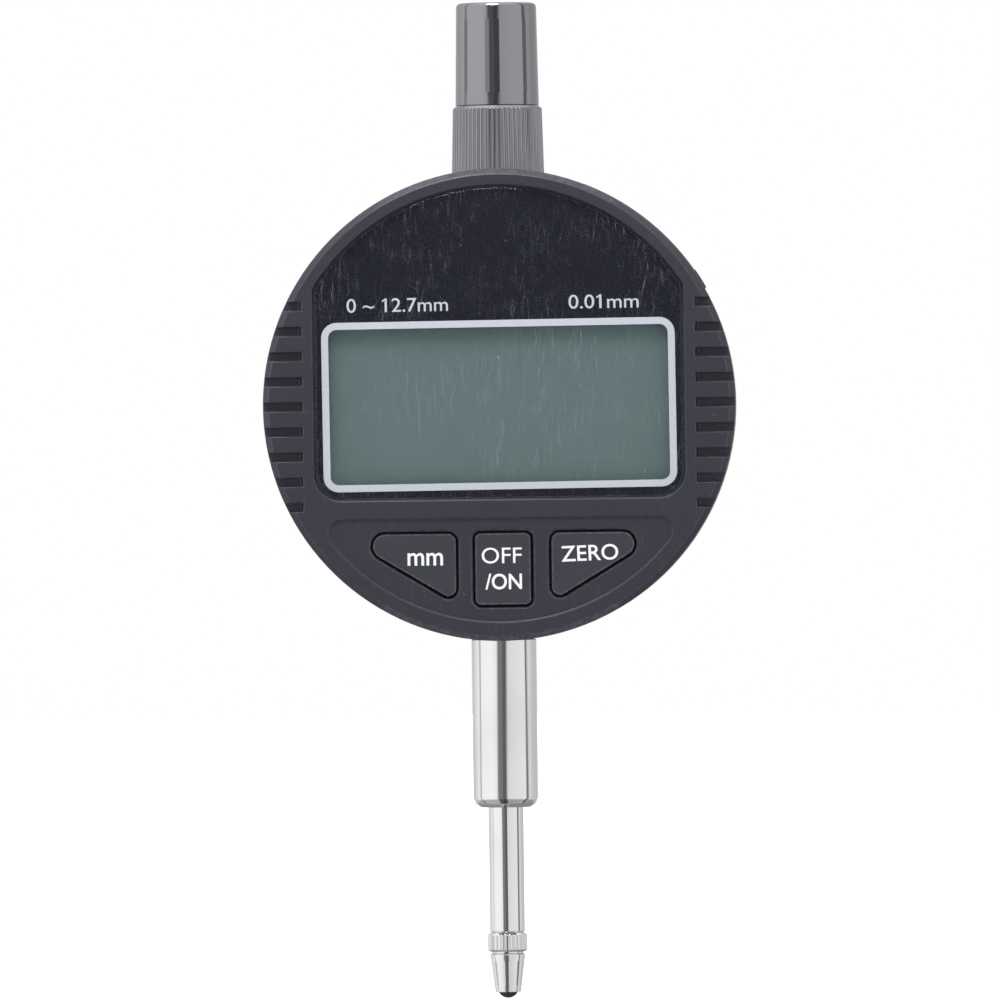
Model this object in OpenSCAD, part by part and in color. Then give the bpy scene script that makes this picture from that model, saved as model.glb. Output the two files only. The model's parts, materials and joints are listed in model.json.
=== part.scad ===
// Digital indicator with 12.7 mm of spindle travel, built as a bench assembly.
// +Z runs up the measuring axis to the dust cap and the display faces -Y.
// The origin is on the spindle axis, half way along the part of the stem that is clamped.

/* [Body] */
// Outside diameter of the two housings
body_d = 58; // [57:0.5:72]
// Thickness of the housings' round side wall
wall = 1.8; // [1.6:0.1:2.4]
// Thickness of the front wall, which carries the window and the keypad
face_wall = 2.4; // [2.2:0.1:3]
// Thickness of the rear housing's floor
floor_t = 1.8; // [1.5:0.1:2.6]
// Chamfer round the front edge
rim_chamfer = 0.7; // [0.3:0.1:1.2]
// Chamfer round the rear edge
rear_chamfer = 0.6; // [0.3:0.1:1]
// How far the front housing's tongue enters the rear housing
lap = 1.2; // [0.8:0.1:2]
// Height of the square rubber seal at the tip of the tongue
seal_h = 0.5; // [0.3:0.1:1]

/* [Grip notches] */
// Notches on each side of the rim
notch_count = 9; // [3:2:9]
// Distance from one notch to the next
notch_pitch = 3.08; // [2.4:0.02:3.2]
// Height of one notch
notch_h = 1.1; // [0.6:0.1:1.5]
// Depth of the notches below the front face
notch_depth = 0.9; // [0.4:0.1:1.4]
// Distance from the rim to a notch's inner end
notch_len = 4.9; // [3.5:0.1:5.2]
// Length of the ramp at a notch's inner end
notch_ramp = 0.35; // [0.1:0.05:0.8]

/* [Window and display] */
// Half width of the window
window_half_w = 22.5; // [21.8:0.1:23]
// Distance from the body's centre down to the window's lower edge
window_drop = 11.35; // [10.6:0.05:12.2]
// Rim left between the window's arc and the body's edge
face_margin = 2.3; // [1.8:0.1:4]
// Thickness of the window
window_t = 1; // [0.6:0.1:1.4]
// Thickness of the adhesive ring that holds the window
adhesive_t = 0.15; // [0.1:0.05:0.3]
// How far the window lies below the front face
window_sink = 0.1; // [0:0.05:0.3]
// Gap round the window
window_gap = 0.3; // [0.1:0.05:0.45]
// Radius of the window's lower corners
window_corner = 3; // [1.5:0.1:4]
// Width of the opening behind the window
sight_w = 42.4; // [38:0.1:42.6]
// Height of the opening behind the window
sight_h = 19.6; // [16:0.1:20.2]
// Width of the display glass
lcd_w = 43.4; // [42.8:0.1:43.8]
// Height of the display glass
lcd_h = 21.4; // [20.8:0.1:22]
// Thickness of each of the two glass plates
lcd_glass_t = 0.55; // [0.4:0.05:0.7]
// Thickness of the polarizer and of the reflector film
lcd_film_t = 0.15; // [0.1:0.05:0.25]
// Height of the contact ledge along the display's top and bottom edges
lcd_ledge = 1.8; // [1.4:0.1:2.2]
// Distance from the front wall to the circuit board
display_depth = 3.2; // [3:0.1:4.2]
// Wall of the frame round the display
lcd_frame_wall = 0.65; // [0.5:0.05:0.7]

/* [Keypad] */
// Distance from the body's centre down to the keypad panel's upper edge
keypad_drop = 13.9; // [13:0.1:14.4]
// Depth of the keypad panel
keypad_sink = 0.3; // [0.1:0.05:0.6]
// Radius of the keypad panel's ends
keypad_corner = 1.8; // [1:0.1:2.4]
// Distance from the body's centre down to the buttons' upper edges
button_drop = 15.75; // [15.5:0.05:16.5]
// Width of the middle button
power_w = 6.85; // [5:0.05:7.2]
// Height of the middle button
power_h = 8.8; // [7:0.1:9]
// Corner radius of the middle button
power_corner = 0.7; // [0.4:0.05:1.4]
// Distance from the middle to a side button's inner edge
side_inner = 6.2; // [6.2:0.05:7.5]
// Length of a side button along its upper edge
side_len = 10.2; // [9:0.1:10.6]
// Height of a side button along its inner edge
side_h = 7.7; // [6:0.1:8.4]
// Radius of a side button's two inner corners
side_corner = 1; // [0.6:0.1:1.4]
// Radius of a side button's outer tip
side_tip_r = 1.5; // [0.8:0.1:2]
// How far a side button's lower edge bulges
side_bulge = 0.25; // [0.05:0.05:0.5]
// How far the left button sits to the right of the right one's mirror image
left_shift = 0.7; // [0:0.05:0.8]
// How far the middle button sits to the right of the middle
middle_shift = 0.25; // [0:0.05:0.4]
// Gap round each button
button_gap = 0.2; // [0.1:0.05:0.3]
// How far the buttons stand above the keypad panel
button_proud = 0.3; // [0.1:0.05:0.8]
// How far the flange behind a button reaches past its edge
button_flange = 0.5; // [0.35:0.05:0.7]
// Thickness of that flange
button_flange_t = 0.65; // [0.4:0.05:0.8]
// Travel of a button
button_travel = 0.5; // [0.2:0.05:0.5]

/* [Stem] */
// Diameter of the stem, the standard clamping size
stem_d = 8; // [7.5:0.05:10]
// Length of the stem below the body
stem_len = 20.6; // [16:0.1:30]
// Chamfer at the stem's lower end
stem_chamfer = 0.9; // [0.2:0.1:1.1]
// How far the stem's shoulder sits inside the body
stem_sink = 0.15; // [0.1:0.05:0.2]
// How much smaller the stem's threaded upper end is
stem_thread_drop = 0.6; // [0.5:0.05:0.8]
// Bore of the stem and of the neck, which hold the bushes
bush_bore = 5.2; // [5.2:0.1:6]
// Length of the bush at the stem's lower end
lower_bush_len = 10; // [6:0.5:14]
// Length of the bush in the neck
upper_bush_len = 6; // [4:0.5:8]
// Height of the boss inside the housing that the stem screws into
boss_h = 4; // [3:0.1:6]
// Wall of the bosses round the stem and the neck
boss_wall = 1.5; // [1:0.1:2.2]
// Thickness of the round nut on the stem
nut_t = 2.5; // [1.5:0.1:3]
// Wall of the round nut
nut_wall = 1.3; // [0.8:0.1:2]
// Thickness of the rubber washer that stops the carriage
buffer_t = 1; // [0.6:0.1:2]

/* [Spindle] */
// Diameter of the spindle
spindle_d = 4.3; // [3.6:0.05:4.4]
// Length of spindle seen below the stem at rest
spindle_out = 15.5; // [13.5:0.1:22]
// Travel of the spindle
travel = 12.7; // [8:0.1:12.7]
// Height of the spindle's top above the body at rest
spindle_top = 4.5; // [2:0.1:5]
// Radial running clearance of the spindle
run_gap = 0.04; // [0.02:0.01:0.09]

/* [Contact point] */
// Diameter of the knurled flange
flange_d = 4.9; // [4.4:0.1:6]
// Height of the knurled flange
flange_h = 2.3; // [1.5:0.1:4]
// Grooves round the flange
flange_grooves = 30; // [16:1:40]
// Diameter at the top of the cone
cone_top_d = 4.3; // [3.6:0.1:4.3]
// Diameter at the foot of the cone
cone_end_d = 3.15; // [2.9:0.05:3.5]
// Length of the cone with the short neck above it
cone_len = 5; // [3.5:0.1:8]
// Diameter of the carbide ball
ball_d = 2.7; // [2:0.1:2.8]
// How far the ball stands out of the cone
ball_out = 0.75; // [0.4:0.05:1]
// Diameter of the thread that screws into the spindle
point_thread_d = 2.5; // [2:0.1:2.8]
// Length of that thread
point_thread_len = 5; // [3:0.5:8]

/* [Dust cap] */
// Height of the cap above the body
cap_h = 20.6; // [20.6:0.1:26]
// Height of the knurled skirt above the body
skirt_h = 8; // [6:0.1:12]
// Diameter of the skirt at its foot
skirt_d = 11.4; // [11:0.1:14]
// Diameter of the smooth part where it meets the skirt
cap_d = 10.3; // [9.6:0.1:11]
// How much both parts narrow from foot to top
cap_taper = 0.4; // [0:0.05:0.6]
// Rounding of the cap's top edge and of the skirt's shoulder
cap_edge = 0.45; // [0.2:0.05:0.6]
// Thickness of the cap's top
cap_top_t = 1.6; // [1:0.1:2]
// Diameter of the hollow above the neck
cap_hollow_d = 6.8; // [5.4:0.1:7]
// Grooves round the skirt
knurl_count = 60; // [24:1:72]
// Radius of one groove
knurl_r = 0.17; // [0.1:0.01:0.22]
// Diameter of the threaded neck under the cap
neck_d = 8.6; // [8.6:0.1:9]
// Height of the neck above its seat
neck_h = 7; // [5:0.1:8]
// Radial clearance between the cap and the neck
cap_gap = 0.06; // [0.03:0.01:0.1]
// Depth of the flat seat cut into the body under the cap
seat_depth = 0.7; // [0.6:0.05:1]

/* [Battery drawer] */
// Direction of the drawer, clockwise from the cap
drawer_angle = 41; // [38:1:45]
// Diameter of the button cell
cell_d = 11.6; // [9.5:0.1:12.5]
// Thickness of the button cell
cell_t = 5.4; // [3:0.1:5.8]
// Wall round the cell in the tray
tray_wall = 0.9; // [0.6:0.1:1.2]
// Floor of the tray
tray_floor = 0.8; // [0.6:0.1:1]
// Clearance round the tray
tray_gap = 0.1; // [0.05:0.01:0.2]
// Wall of the guide sleeve inside the housing
sleeve_wall = 0.75; // [0.6:0.05:1]
// Width of the drawer's outer cover
head_w = 20; // [18:0.5:21]
// Height of the drawer's outer cover across the rim
head_h = 8.4; // [8.2:0.1:9.6]
// Thickness of the drawer's outer cover
head_t = 1; // [0.7:0.1:1.1]
// How far the cover stands out of the rim
head_proud = 0.13; // [0:0.01:0.4]
// Width of the finger lip at the cover's lower end
lip_w = 2.4; // [1.5:0.1:3.5]
// How far the finger lip stands above the cover
lip_proud = 0.1; // [0:0.01:0.4]

/* [Lug back] */
// Thickness of the back plate
plate_t = 2; // [1.6:0.1:3]
// Rim left round the back plate
plate_margin = 1.1; // [1:0.1:1.2]
// How far the rear housing's rim stands round the plate
plate_recess = 1.5; // [0.8:0.1:1.6]
// Thickness of the lug
lug_w = 5; // [4:0.1:8]
// Height of the lug
lug_h = 12; // [10:0.5:16]
// Diameter of the lug's hole
lug_bore = 6.5; // [5:0.1:7]
// Distance from the plate to the hole's centre
lug_reach = 6.6; // [6:0.1:10]

/* [Mechanism] */
// Height of the carriage on the spindle
carriage_h = 9; // [8:0.1:11]
// Half width of the carriage
carriage_half_w = 4.6; // [4:0.1:5]
// Length of the moving scale plate
scale_len = 20; // [14:0.5:22]
// Half width of the moving scale plate
scale_half_w = 5.5; // [4.6:0.1:5.8]
// Thickness of the moving scale plate
scale_t = 0.8; // [0.5:0.1:1]
// Air gap between the scale plate and the circuit board
scale_gap = 0.2; // [0.1:0.05:0.4]
// Diameter of the guide pin
guide_pin_d = 2; // [1.5:0.1:2.4]
// Distance from the spindle axis to the guide rail's face
rail_x = 10.4; // [10:0.1:11]
// Width of the guide rail
rail_w = 2.6; // [2.4:0.1:3]
// Length of the guide pin inside the rail's slot
pin_in_slot = 1.8; // [1.2:0.1:2]
// Distance from the spindle axis to the return spring
spring_x = 8.2; // [8:0.1:8.8]
// Outside diameter of the return spring
spring_d = 3.2; // [2.4:0.1:3.6]
// Diameter of the spring's wire
wire_d = 0.34; // [0.2:0.02:0.4]

/* [Electronics] */
// Thickness of the circuit board
pcb_t = 1; // [0.8:0.1:1.6]
// Gap between the circuit board's edge and the screw posts
pcb_gap = 0.4; // [0.2:0.1:1]
// Width of a tactile switch
switch_w = 4.2; // [3:0.1:4.6]
// Height of a tactile switch's case
switch_t = 1.2; // [0.8:0.1:1.3]
// Height of a switch's plunger
switch_plunger = 0.5; // [0.3:0.1:0.6]

/* [Screws] */
// Diameter of the four housing screws
screw_d = 2; // [1.6:0.1:2.2]
// Diameter of their heads
screw_head_d = 3.8; // [3:0.1:4]
// Height of their heads
screw_head_h = 1.1; // [0.8:0.1:1.3]
// Diameter of the small screws inside
small_screw_d = 1.4; // [1:0.1:1.6]
// Diameter of the small screws' heads
small_head_d = 2.4; // [2:0.1:2.8]
// Height of the small screws' heads
small_head_h = 0.8; // [0.5:0.1:0.9]

/* [Hidden] */
$fn = 96;

fit = 0.02;             // gap between pieces that are pressed, glued or screwed together
over = 1;               // how far a cutter runs past the face it opens
body_r = body_d / 2;
body_z = stem_len / 2 + body_r;
inner_r = body_r - wall;

// Radii about the measuring axis
stem_r = stem_d / 2;
thread_r = stem_r - stem_thread_drop / 2;
nut_r = thread_r + nut_wall;
spindle_r = spindle_d / 2;
bush_r = bush_bore / 2;
seat_r = skirt_d / 2 + 0.4;
neck_r = neck_d / 2;
neck_root_r = neck_r - 0.6;

// Depths, counted from the spindle axis towards the back
floor_y = nut_r + 0.3;
plate_y = floor_y + floor_t;
rear_y = plate_y + plate_recess;
back_y = plate_y + plate_t;
lug_y = back_y + lug_reach;
split_y = -(seat_r + 0.4);
board_back_y = split_y + 0.1;
board_y = board_back_y - pcb_t;
wall_y = board_y - display_depth;
face_y = wall_y - face_wall;
keypad_y = face_y + keypad_sink;
window_y = face_y + window_sink;
window_back_y = window_y + window_t;
window_floor_y = window_back_y + adhesive_t;
lcd_y = wall_y + 0.05;
glass_y = lcd_y + lcd_film_t;
glass_mid_y = glass_y + lcd_glass_t;
glass_back_y = glass_mid_y + lcd_glass_t;
scale_y = board_back_y + scale_gap;
carriage_y = scale_y + scale_t;
carriage_back_y = floor_y - 0.9;
boss_front_y = split_y + 1.1;

// Heights on the measuring axis
stem_foot_z = -stem_len / 2;
stem_seat_z = body_z - body_r + stem_sink;
boss_top_z = body_z - inner_r + boss_h;
nut_top_z = boss_top_z + nut_t;
stem_top_z = nut_top_z + 0.5;
carriage_z = stem_top_z + buffer_t;
carriage_top_z = carriage_z + carriage_h;
neck_seat_z = body_z + body_r - seat_depth;
neck_foot_z = body_z + inner_r - boss_h;
spindle_foot_z = stem_foot_z - spindle_out;
spindle_top_z = body_z + body_r + spindle_top;
cone_foot_z = spindle_foot_z - flange_h - cone_len;
cap_foot_z = neck_seat_z + fit;
cap_top_z = body_z + body_r + cap_h;

// Housing screws: each is given by its direction from the cap, clockwise
post_r = 2;
post_ring = inner_r - post_r + 0.2;
post_angles = [-128, -75, 75, 128];
board_r = post_ring - post_r - pcb_gap;
board_post_r = 1.3;
board_post_x = 0.565 * board_r;
board_post_z = 0.674 * board_r;
board_posts = [[-board_post_x, board_post_z], [board_post_x, board_post_z], [-7.2, -13.35], [7.2, -13.35]];

// Window and keypad outlines
panel_r = body_r - face_margin;
button_z = -button_drop;
switch_spots = [[left_shift - 9.6, -18.6], [middle_shift, -20.1], [9.6, -18.6]];
button_back_y = board_y - switch_t - switch_plunger - button_travel - 0.05;

// Battery drawer, in its own frame: x across, y to the back, z outwards
tray_w = cell_d + 2 * tray_wall + 0.2;
cell_u = body_r - head_t - tray_wall - cell_d / 2 - 0.6;
sleeve_u = cell_u - cell_d / 2 + 1;
cell_y = cell_t / 2;
tray_back_y = cell_y + 0.05 + tray_floor;
sleeve_front_y = -tray_back_y - tray_gap;
contact_w = 3;
leaf_t = 0.25;

// Mechanism
arm_z = carriage_z + carriage_h / 2;
arm_x = rail_x - 1;
pin_r = guide_pin_d / 2;
ear_x = spring_x + 1.6;
ear_h = 2.8;
hook_r = spring_d / 2 - wire_d / 2 - 0.25;
spring_y = 1;
ear_y = spring_y + spring_d / 2 + 0.2;
spring_low_z = body_z - sqrt(pow(inner_r - 1.6, 2) - pow(spring_x, 2)) + 2.2;
spring_high_z = carriage_top_z - ear_h / 2;
anchor_r = 0.8;
hook_pin_r = 0.7;
clamp_r = 0.9;
clamp_z = [carriage_z - body_z + 2, carriage_z - body_z + carriage_h - 2];
rail_low_z = arm_z - pin_r - 2.4;
rail_high_z = arm_z + travel + pin_r + 1.4;
rail_foot_h = 3.4;
rail_foot_w = 3.6;
rail_screw_x = rail_x + rail_w + rail_foot_w / 2;
rail_foot_z = [rail_low_z + rail_foot_h / 2 - body_z, rail_high_z - rail_foot_h / 2 - body_z];

// ---- helpers ----

// A front-view outline, drawn about the body's centre and made solid between two depths
module slab(y0, y1)
    translate([0, y1, body_z]) rotate([90, 0, 0]) linear_extrude(y1 - y0) children();

// A round shape about the body's centre, from a profile of radius and depth
module turned()
    translate([0, 0, body_z]) rotate([-90, 0, 0]) rotate_extrude($fn = 180) children();

// A rod along Y through a point of the front view
module rod_y(at, r, y0, y1)
    slab(y0, y1) translate(at) circle(r);

// A tube on the measuring axis
module tube(r, bore, z0, z1)
    difference() {
        translate([0, 0, z0]) cylinder(r = r, h = z1 - z0);
        translate([0, 0, z0 - over]) cylinder(r = bore, h = z1 - z0 + 2 * over);
    }

// A rectangle with round corners, centred
module rounded(w, h, r)
    offset(r, $fn = 48) square([w - 2 * r, h - 2 * r], center = true);

function on_ring(angle, r) = [r * sin(angle), r * cos(angle)];

// Points along a shallow arc that bulges by h between two points
function bulge(p, q, h, n = 8) = [
    for (i = [1 : n - 1])
        let (t = i / n, along = p + (q - p) * t, side = [q[1] - p[1], p[0] - q[0]])
        along + side / norm(side) * h * 4 * t * (1 - t)
];

module at_posts()
    for (a = post_angles) translate(on_ring(a, post_ring)) children();

// ---- outlines on the front ----

module window_outline(grow = 0)
    offset(grow, $fn = 48) offset(1.2, $fn = 48) offset(delta = -1.2) union() {
        intersection() {
            circle(panel_r, $fn = 180);
            translate([-window_half_w, 0]) square([2 * window_half_w, body_r]);
        }
        translate([0, window_corner / 2 - window_drop / 2])
            rounded(2 * window_half_w, window_drop + window_corner, window_corner);
    }

module keypad_outline()
    offset(keypad_corner, $fn = 48) offset(delta = -keypad_corner) intersection() {
        circle(panel_r, $fn = 180);
        translate([-body_r, -body_r]) square([body_d, body_r - keypad_drop]);
    }

module power_outline()
    translate([middle_shift, button_z - power_h / 2]) rounded(power_w, power_h, power_corner);

// The right-hand side button; the left one mirrors it, a little nearer the middle
module side_outline() {
    tip = [side_inner + side_len - side_tip_r, button_z - side_tip_r];
    low = [side_inner + side_corner, button_z - side_h + side_corner];
    out = [sin(30), -cos(30)];
    hull() {
        translate([side_inner + side_corner, button_z - side_corner]) circle(side_corner, $fn = 32);
        translate(tip) circle(side_tip_r, $fn = 48);
        translate(low) circle(side_corner, $fn = 32);
        polygon(concat([tip], bulge(tip + out * side_tip_r, low + out * side_corner, side_bulge), [low]));
    }
}

module left_button_outline() translate([left_shift, 0]) mirror([1, 0]) side_outline();

// ---- housings and cover ----

module grip_notches() {
    first = -(notch_count - 1) / 2;
    x0 = body_r - notch_len;
    for (k = [0 : notch_count - 1]) for (side = [0, 1])
        translate([0, 0, body_z + (first + k) * notch_pitch]) mirror([side, 0, 0])
            translate([0, 0, -notch_h / 2]) linear_extrude(notch_h) polygon([
                [x0, face_y - over], [x0, face_y], [x0 + notch_ramp, face_y + notch_depth],
                [body_r + over, face_y + notch_depth], [body_r + over, face_y - over]
            ]);
}

module front_housing() color([0.16, 0.165, 0.18]) difference() {
    union() {
        turned() polygon([
            [0, face_y], [body_r - rim_chamfer, face_y], [body_r, face_y + rim_chamfer],
            [body_r, split_y], [body_r - wall / 2, split_y], [body_r - wall / 2, split_y + lap],
            [inner_r, split_y + lap], [inner_r, wall_y], [0, wall_y]
        ]);
        slab(wall_y - fit, split_y) intersection() {
            at_posts() circle(post_r);
            circle(inner_r + wall / 4, $fn = 180);
        }
        for (p = board_posts) rod_y(p, board_post_r, wall_y - fit, board_y);
    }
    slab(face_y - over, window_floor_y) window_outline(window_gap);
    slab(face_y - over, wall_y + over) square([sight_w, sight_h], center = true);
    slab(face_y - over, keypad_y) keypad_outline();
    slab(face_y - over, wall_y + over) offset(button_gap, $fn = 48) power_outline();
    slab(face_y - over, wall_y + over) offset(button_gap, $fn = 48) side_outline();
    slab(face_y - over, wall_y + over) offset(button_gap, $fn = 48) left_button_outline();
    grip_notches();
    slab(wall_y + 0.4, split_y + over) at_posts() circle(screw_d / 2 + fit);
    for (p = board_posts) rod_y(p, small_screw_d / 2 + fit, wall_y + 0.4, board_y + over);
}

// The guide sleeve of the drawer, in the drawer's frame
module sleeve(grow) {
    w = tray_w + 2 * tray_gap + 2 * grow;
    h = 2 * (tray_back_y + tray_gap + grow);
    low = sleeve_u - (grow > 0 ? 0 : tray_w);
    high = grow > 0 ? inner_r : body_r + over;
    translate([-w / 2, -h / 2, low]) cube([w, h, high - low]);
}

// Moves its children into the drawer's frame
module in_drawer()
    translate([0, 0, body_z]) rotate([0, drawer_angle, 0]) children();

// A plan outline in the drawer's frame, made solid between two depths
module drawer_slab(y0, y1)
    translate([0, y1, 0]) rotate([90, 0, 0]) linear_extrude(y1 - y0) children();

module rear_housing() color([0.14, 0.145, 0.155]) difference() {
    union() {
        turned() polygon([
            [inner_r, split_y], [body_r, split_y], [body_r, rear_y - rear_chamfer],
            [body_r - rear_chamfer, rear_y], [body_r - plate_margin, rear_y],
            [body_r - plate_margin, plate_y], [0, plate_y], [0, floor_y], [inner_r, floor_y]
        ]);
        slab(split_y, floor_y + fit) intersection() {
            at_posts() circle(post_r);
            circle(inner_r + wall / 4, $fn = 180);
        }
        // Bosses for the stem and for the neck
        intersection() {
            slab(boss_front_y, floor_y + fit) circle(inner_r + wall / 4, $fn = 180);
            union() {
                stem_boss_w = 2 * (thread_r + boss_wall);
                neck_boss_w = 2 * (neck_root_r + boss_wall);
                translate([-stem_boss_w / 2, boss_front_y, body_z - body_r])
                    cube([stem_boss_w, floor_y + fit - boss_front_y, boss_top_z - body_z + body_r]);
                translate([-neck_boss_w / 2, boss_front_y, neck_foot_z])
                    cube([neck_boss_w, floor_y + fit - boss_front_y, body_z + body_r - neck_foot_z]);
            }
        }
        intersection() {
            in_drawer() sleeve(sleeve_wall);
            slab(split_y, floor_y) circle(inner_r + wall / 4, $fn = 180);
        }
    }
    // Groove for the tongue and its seal
    turned() polygon([
        [inner_r - fit, split_y - over], [body_r - wall / 2 + fit, split_y - over],
        [body_r - wall / 2 + fit, split_y + lap + seal_h], [inner_r - fit, split_y + lap + seal_h]
    ]);
    slab(split_y - over, plate_y + over) at_posts() circle(screw_d / 2 + run_gap);
    // Seats and holes on the measuring axis
    below_z = body_z - body_r - over;
    translate([0, 0, below_z]) cylinder(r = stem_r + 0.4, h = stem_seat_z - below_z);
    translate([0, 0, below_z]) cylinder(r = thread_r + fit, h = boss_top_z + over - below_z);
    translate([0, 0, neck_seat_z]) cylinder(r = seat_r, h = seat_depth + over);
    translate([0, 0, neck_foot_z - over]) cylinder(r = neck_root_r + fit, h = body_r);
    // Drawer: pocket for the cover and passage for the tray
    in_drawer() {
        sleeve(0);
        intersection() {
            translate([-head_w / 2, -head_h / 2, 0]) cube([head_w, head_h, body_d]);
            drawer_slab(-head_h, head_h) difference() {
                circle(body_d);
                circle(body_r - head_t, $fn = 180);
            }
        }
    }
    for (z = rail_foot_z) rod_y([-rail_screw_x, z], small_screw_d / 2 + fit, floor_y - over, floor_y + 1.3);
    rod_y([spring_x, spring_low_z - body_z], anchor_r + fit, floor_y - over, floor_y + 1.3);
}

module housing_seal() color([0.06, 0.06, 0.06])
    turned() translate([inner_r, split_y + lap + fit]) square([wall / 2, seal_h - 2 * fit]);

module lug_back() color([0.2, 0.205, 0.22]) difference() {
    union() {
        turned() polygon([
            [0, plate_y + fit], [body_r - plate_margin - fit, plate_y + fit],
            [body_r - plate_margin - fit, back_y - 0.3], [body_r - plate_margin - 0.3, back_y], [0, back_y]
        ]);
        translate([-lug_w / 2, back_y - fit, body_z - lug_h / 2]) cube([lug_w, lug_reach + fit, lug_h]);
        translate([-lug_w / 2, lug_y, body_z]) rotate([0, 90, 0]) cylinder(r = lug_h / 2, h = lug_w);
    }
    translate([-lug_w / 2 - over, lug_y, body_z]) rotate([0, 90, 0])
        cylinder(r = lug_bore / 2, h = lug_w + 2 * over);
    slab(plate_y - over, back_y + over) at_posts() circle(screw_d / 2 + run_gap);
    slab(back_y - screw_head_h - 0.1, back_y + over) at_posts() circle(screw_head_d / 2 + 0.1);
}

module housing_screws() color([0.3, 0.3, 0.31]) {
    seat_y = back_y - screw_head_h - 0.1 + fit;
    difference() {
        union() {
            slab(wall_y + 0.6, seat_y + 0.1) at_posts() circle(screw_d / 2);
            slab(seat_y, seat_y + screw_head_h) at_posts() circle(screw_head_d / 2);
        }
        // Cross recesses
        slab(seat_y + screw_head_h - 0.6, seat_y + screw_head_h + over) at_posts() {
            square([screw_head_d * 0.55, 0.45], center = true);
            square([0.45, screw_head_d * 0.55], center = true);
        }
    }
}

// ---- window and display ----

module window() color([0.1, 0.1, 0.15, 0.6]) slab(window_y, window_back_y) window_outline();

module window_adhesive() color([0.05, 0.05, 0.05])
    slab(window_back_y + fit / 4, window_floor_y - fit / 4) difference() {
        window_outline(-0.3);
        square([sight_w + 0.2, sight_h + 0.2], center = true);
    }

module lcd_polarizer() color([0.45, 0.5, 0.48])
    slab(lcd_y, glass_y - fit / 4) square([lcd_w - 0.4, lcd_h - 1], center = true);

module lcd_glass() color([0.6, 0.66, 0.63, 0.5]) {
    slab(glass_y, glass_mid_y) square([lcd_w, lcd_h], center = true);
    slab(glass_mid_y, glass_back_y) square([lcd_w, lcd_h - 2 * lcd_ledge], center = true);
}

module lcd_reflector() color([0.7, 0.72, 0.7])
    slab(glass_back_y + fit / 4, glass_back_y + lcd_film_t)
        square([lcd_w - 0.6, lcd_h - 2 * lcd_ledge - 0.4], center = true);

module lcd_frame() color([0.85, 0.85, 0.83])
    slab(lcd_y, board_y - fit) difference() {
        rounded(lcd_w + 2 * lcd_frame_wall, lcd_h + 2 * lcd_frame_wall, 0.4);
        square([lcd_w + 2 * fit, lcd_h + 2 * fit], center = true);
    }

module zebra_strips() color([0.2, 0.2, 0.2])
    for (side = [-1, 1]) slab(glass_mid_y + fit, board_y - fit)
        translate([0, side * (lcd_h - lcd_ledge) / 2])
            square([lcd_w - 6, lcd_ledge - 0.4], center = true);

// ---- electronics ----

module main_board() color([0.1, 0.35, 0.2])
    slab(board_y, board_back_y) difference() {
        circle(board_r, $fn = 180);
        for (p = board_posts) translate(p) circle(small_screw_d / 2 + fit);
    }

module tactile_switches() color([0.15, 0.15, 0.15])
    for (p = switch_spots) {
        slab(board_y - switch_t, board_y - fit) translate(p) square(switch_w, center = true);
        rod_y(p, 1, board_y - switch_t - switch_plunger, board_y - switch_t + fit);
    }

// Measuring circuit under its drop of black resin
module measuring_chip() color([0.05, 0.05, 0.05]) {
    drop_r = 3.8;
    drop_h = 1.1;
    translate([-14, board_back_y + fit, body_z + 5]) rotate([-90, 0, 0]) rotate_extrude() polygon(concat(
        [[0, 0]], [for (a = [0 : 15 : 90]) [drop_r * cos(a), drop_h * sin(a)]]
    ));
}

module quartz_crystal() color([0.75, 0.75, 0.76]) {
    can_r = 1;
    translate([-19, board_back_y + can_r + fit, body_z - 4]) cylinder(r = can_r, h = 6);
    for (dx = [-0.35, 0.35]) translate([-19 + dx, board_back_y + can_r + fit, body_z - 6])
        cylinder(r = 0.15, h = 2.1);
}

module chip_parts() color([0.55, 0.4, 0.25])
    for (k = [0 : 5])
        slab(board_back_y + fit, board_back_y + 0.8)
            translate([12 + 2.2 * (k % 3), -3 - 3 * floor(k / 3)]) square([0.9, 1.7], center = true);

// A small pan-head screw along Y: its head ends at y1
module small_screw(at, y0, y1) difference() {
    union() {
        rod_y(at, small_screw_d / 2, y0, y1 - small_head_h + 0.1);
        rod_y(at, small_head_d / 2, y1 - small_head_h, y1);
    }
    slab(y1 - 0.35, y1 + over) translate(at) square([small_head_d + over, 0.35], center = true);
}

module board_screws() color([0.7, 0.7, 0.7])
    for (p = board_posts) small_screw(p, wall_y + 0.7, board_back_y + fit + small_head_h);

// Contact that touches the cell's rim, and the leaf that presses on its face
module cell_contact_plus() color([0.85, 0.78, 0.5]) {
    u = cell_u - cell_d / 2 - leaf_t - 0.05;
    in_drawer() translate([0.4, board_back_y + fit, u]) cube([contact_w, cell_y - board_back_y, leaf_t]);
}

module cell_contact_minus() color([0.85, 0.78, 0.5]) in_drawer() {
    low = cell_u - cell_d / 2 - 1.9;
    leaf_y = sleeve_front_y + fit;
    translate([-0.4 - contact_w, board_back_y + fit, low])
        cube([contact_w, leaf_y + leaf_t - board_back_y - fit, leaf_t]);
    translate([-0.4 - contact_w, leaf_y, low]) cube([contact_w, leaf_t, cell_u - low]);
    translate([-0.4 - contact_w / 2, -cell_y - 0.05, cell_u - 1.6]) rotate([90, 0, 0])
        cylinder(r = 1, h = -cell_y - 0.05 - leaf_y);
}

// ---- stem, neck and guides ----

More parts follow.
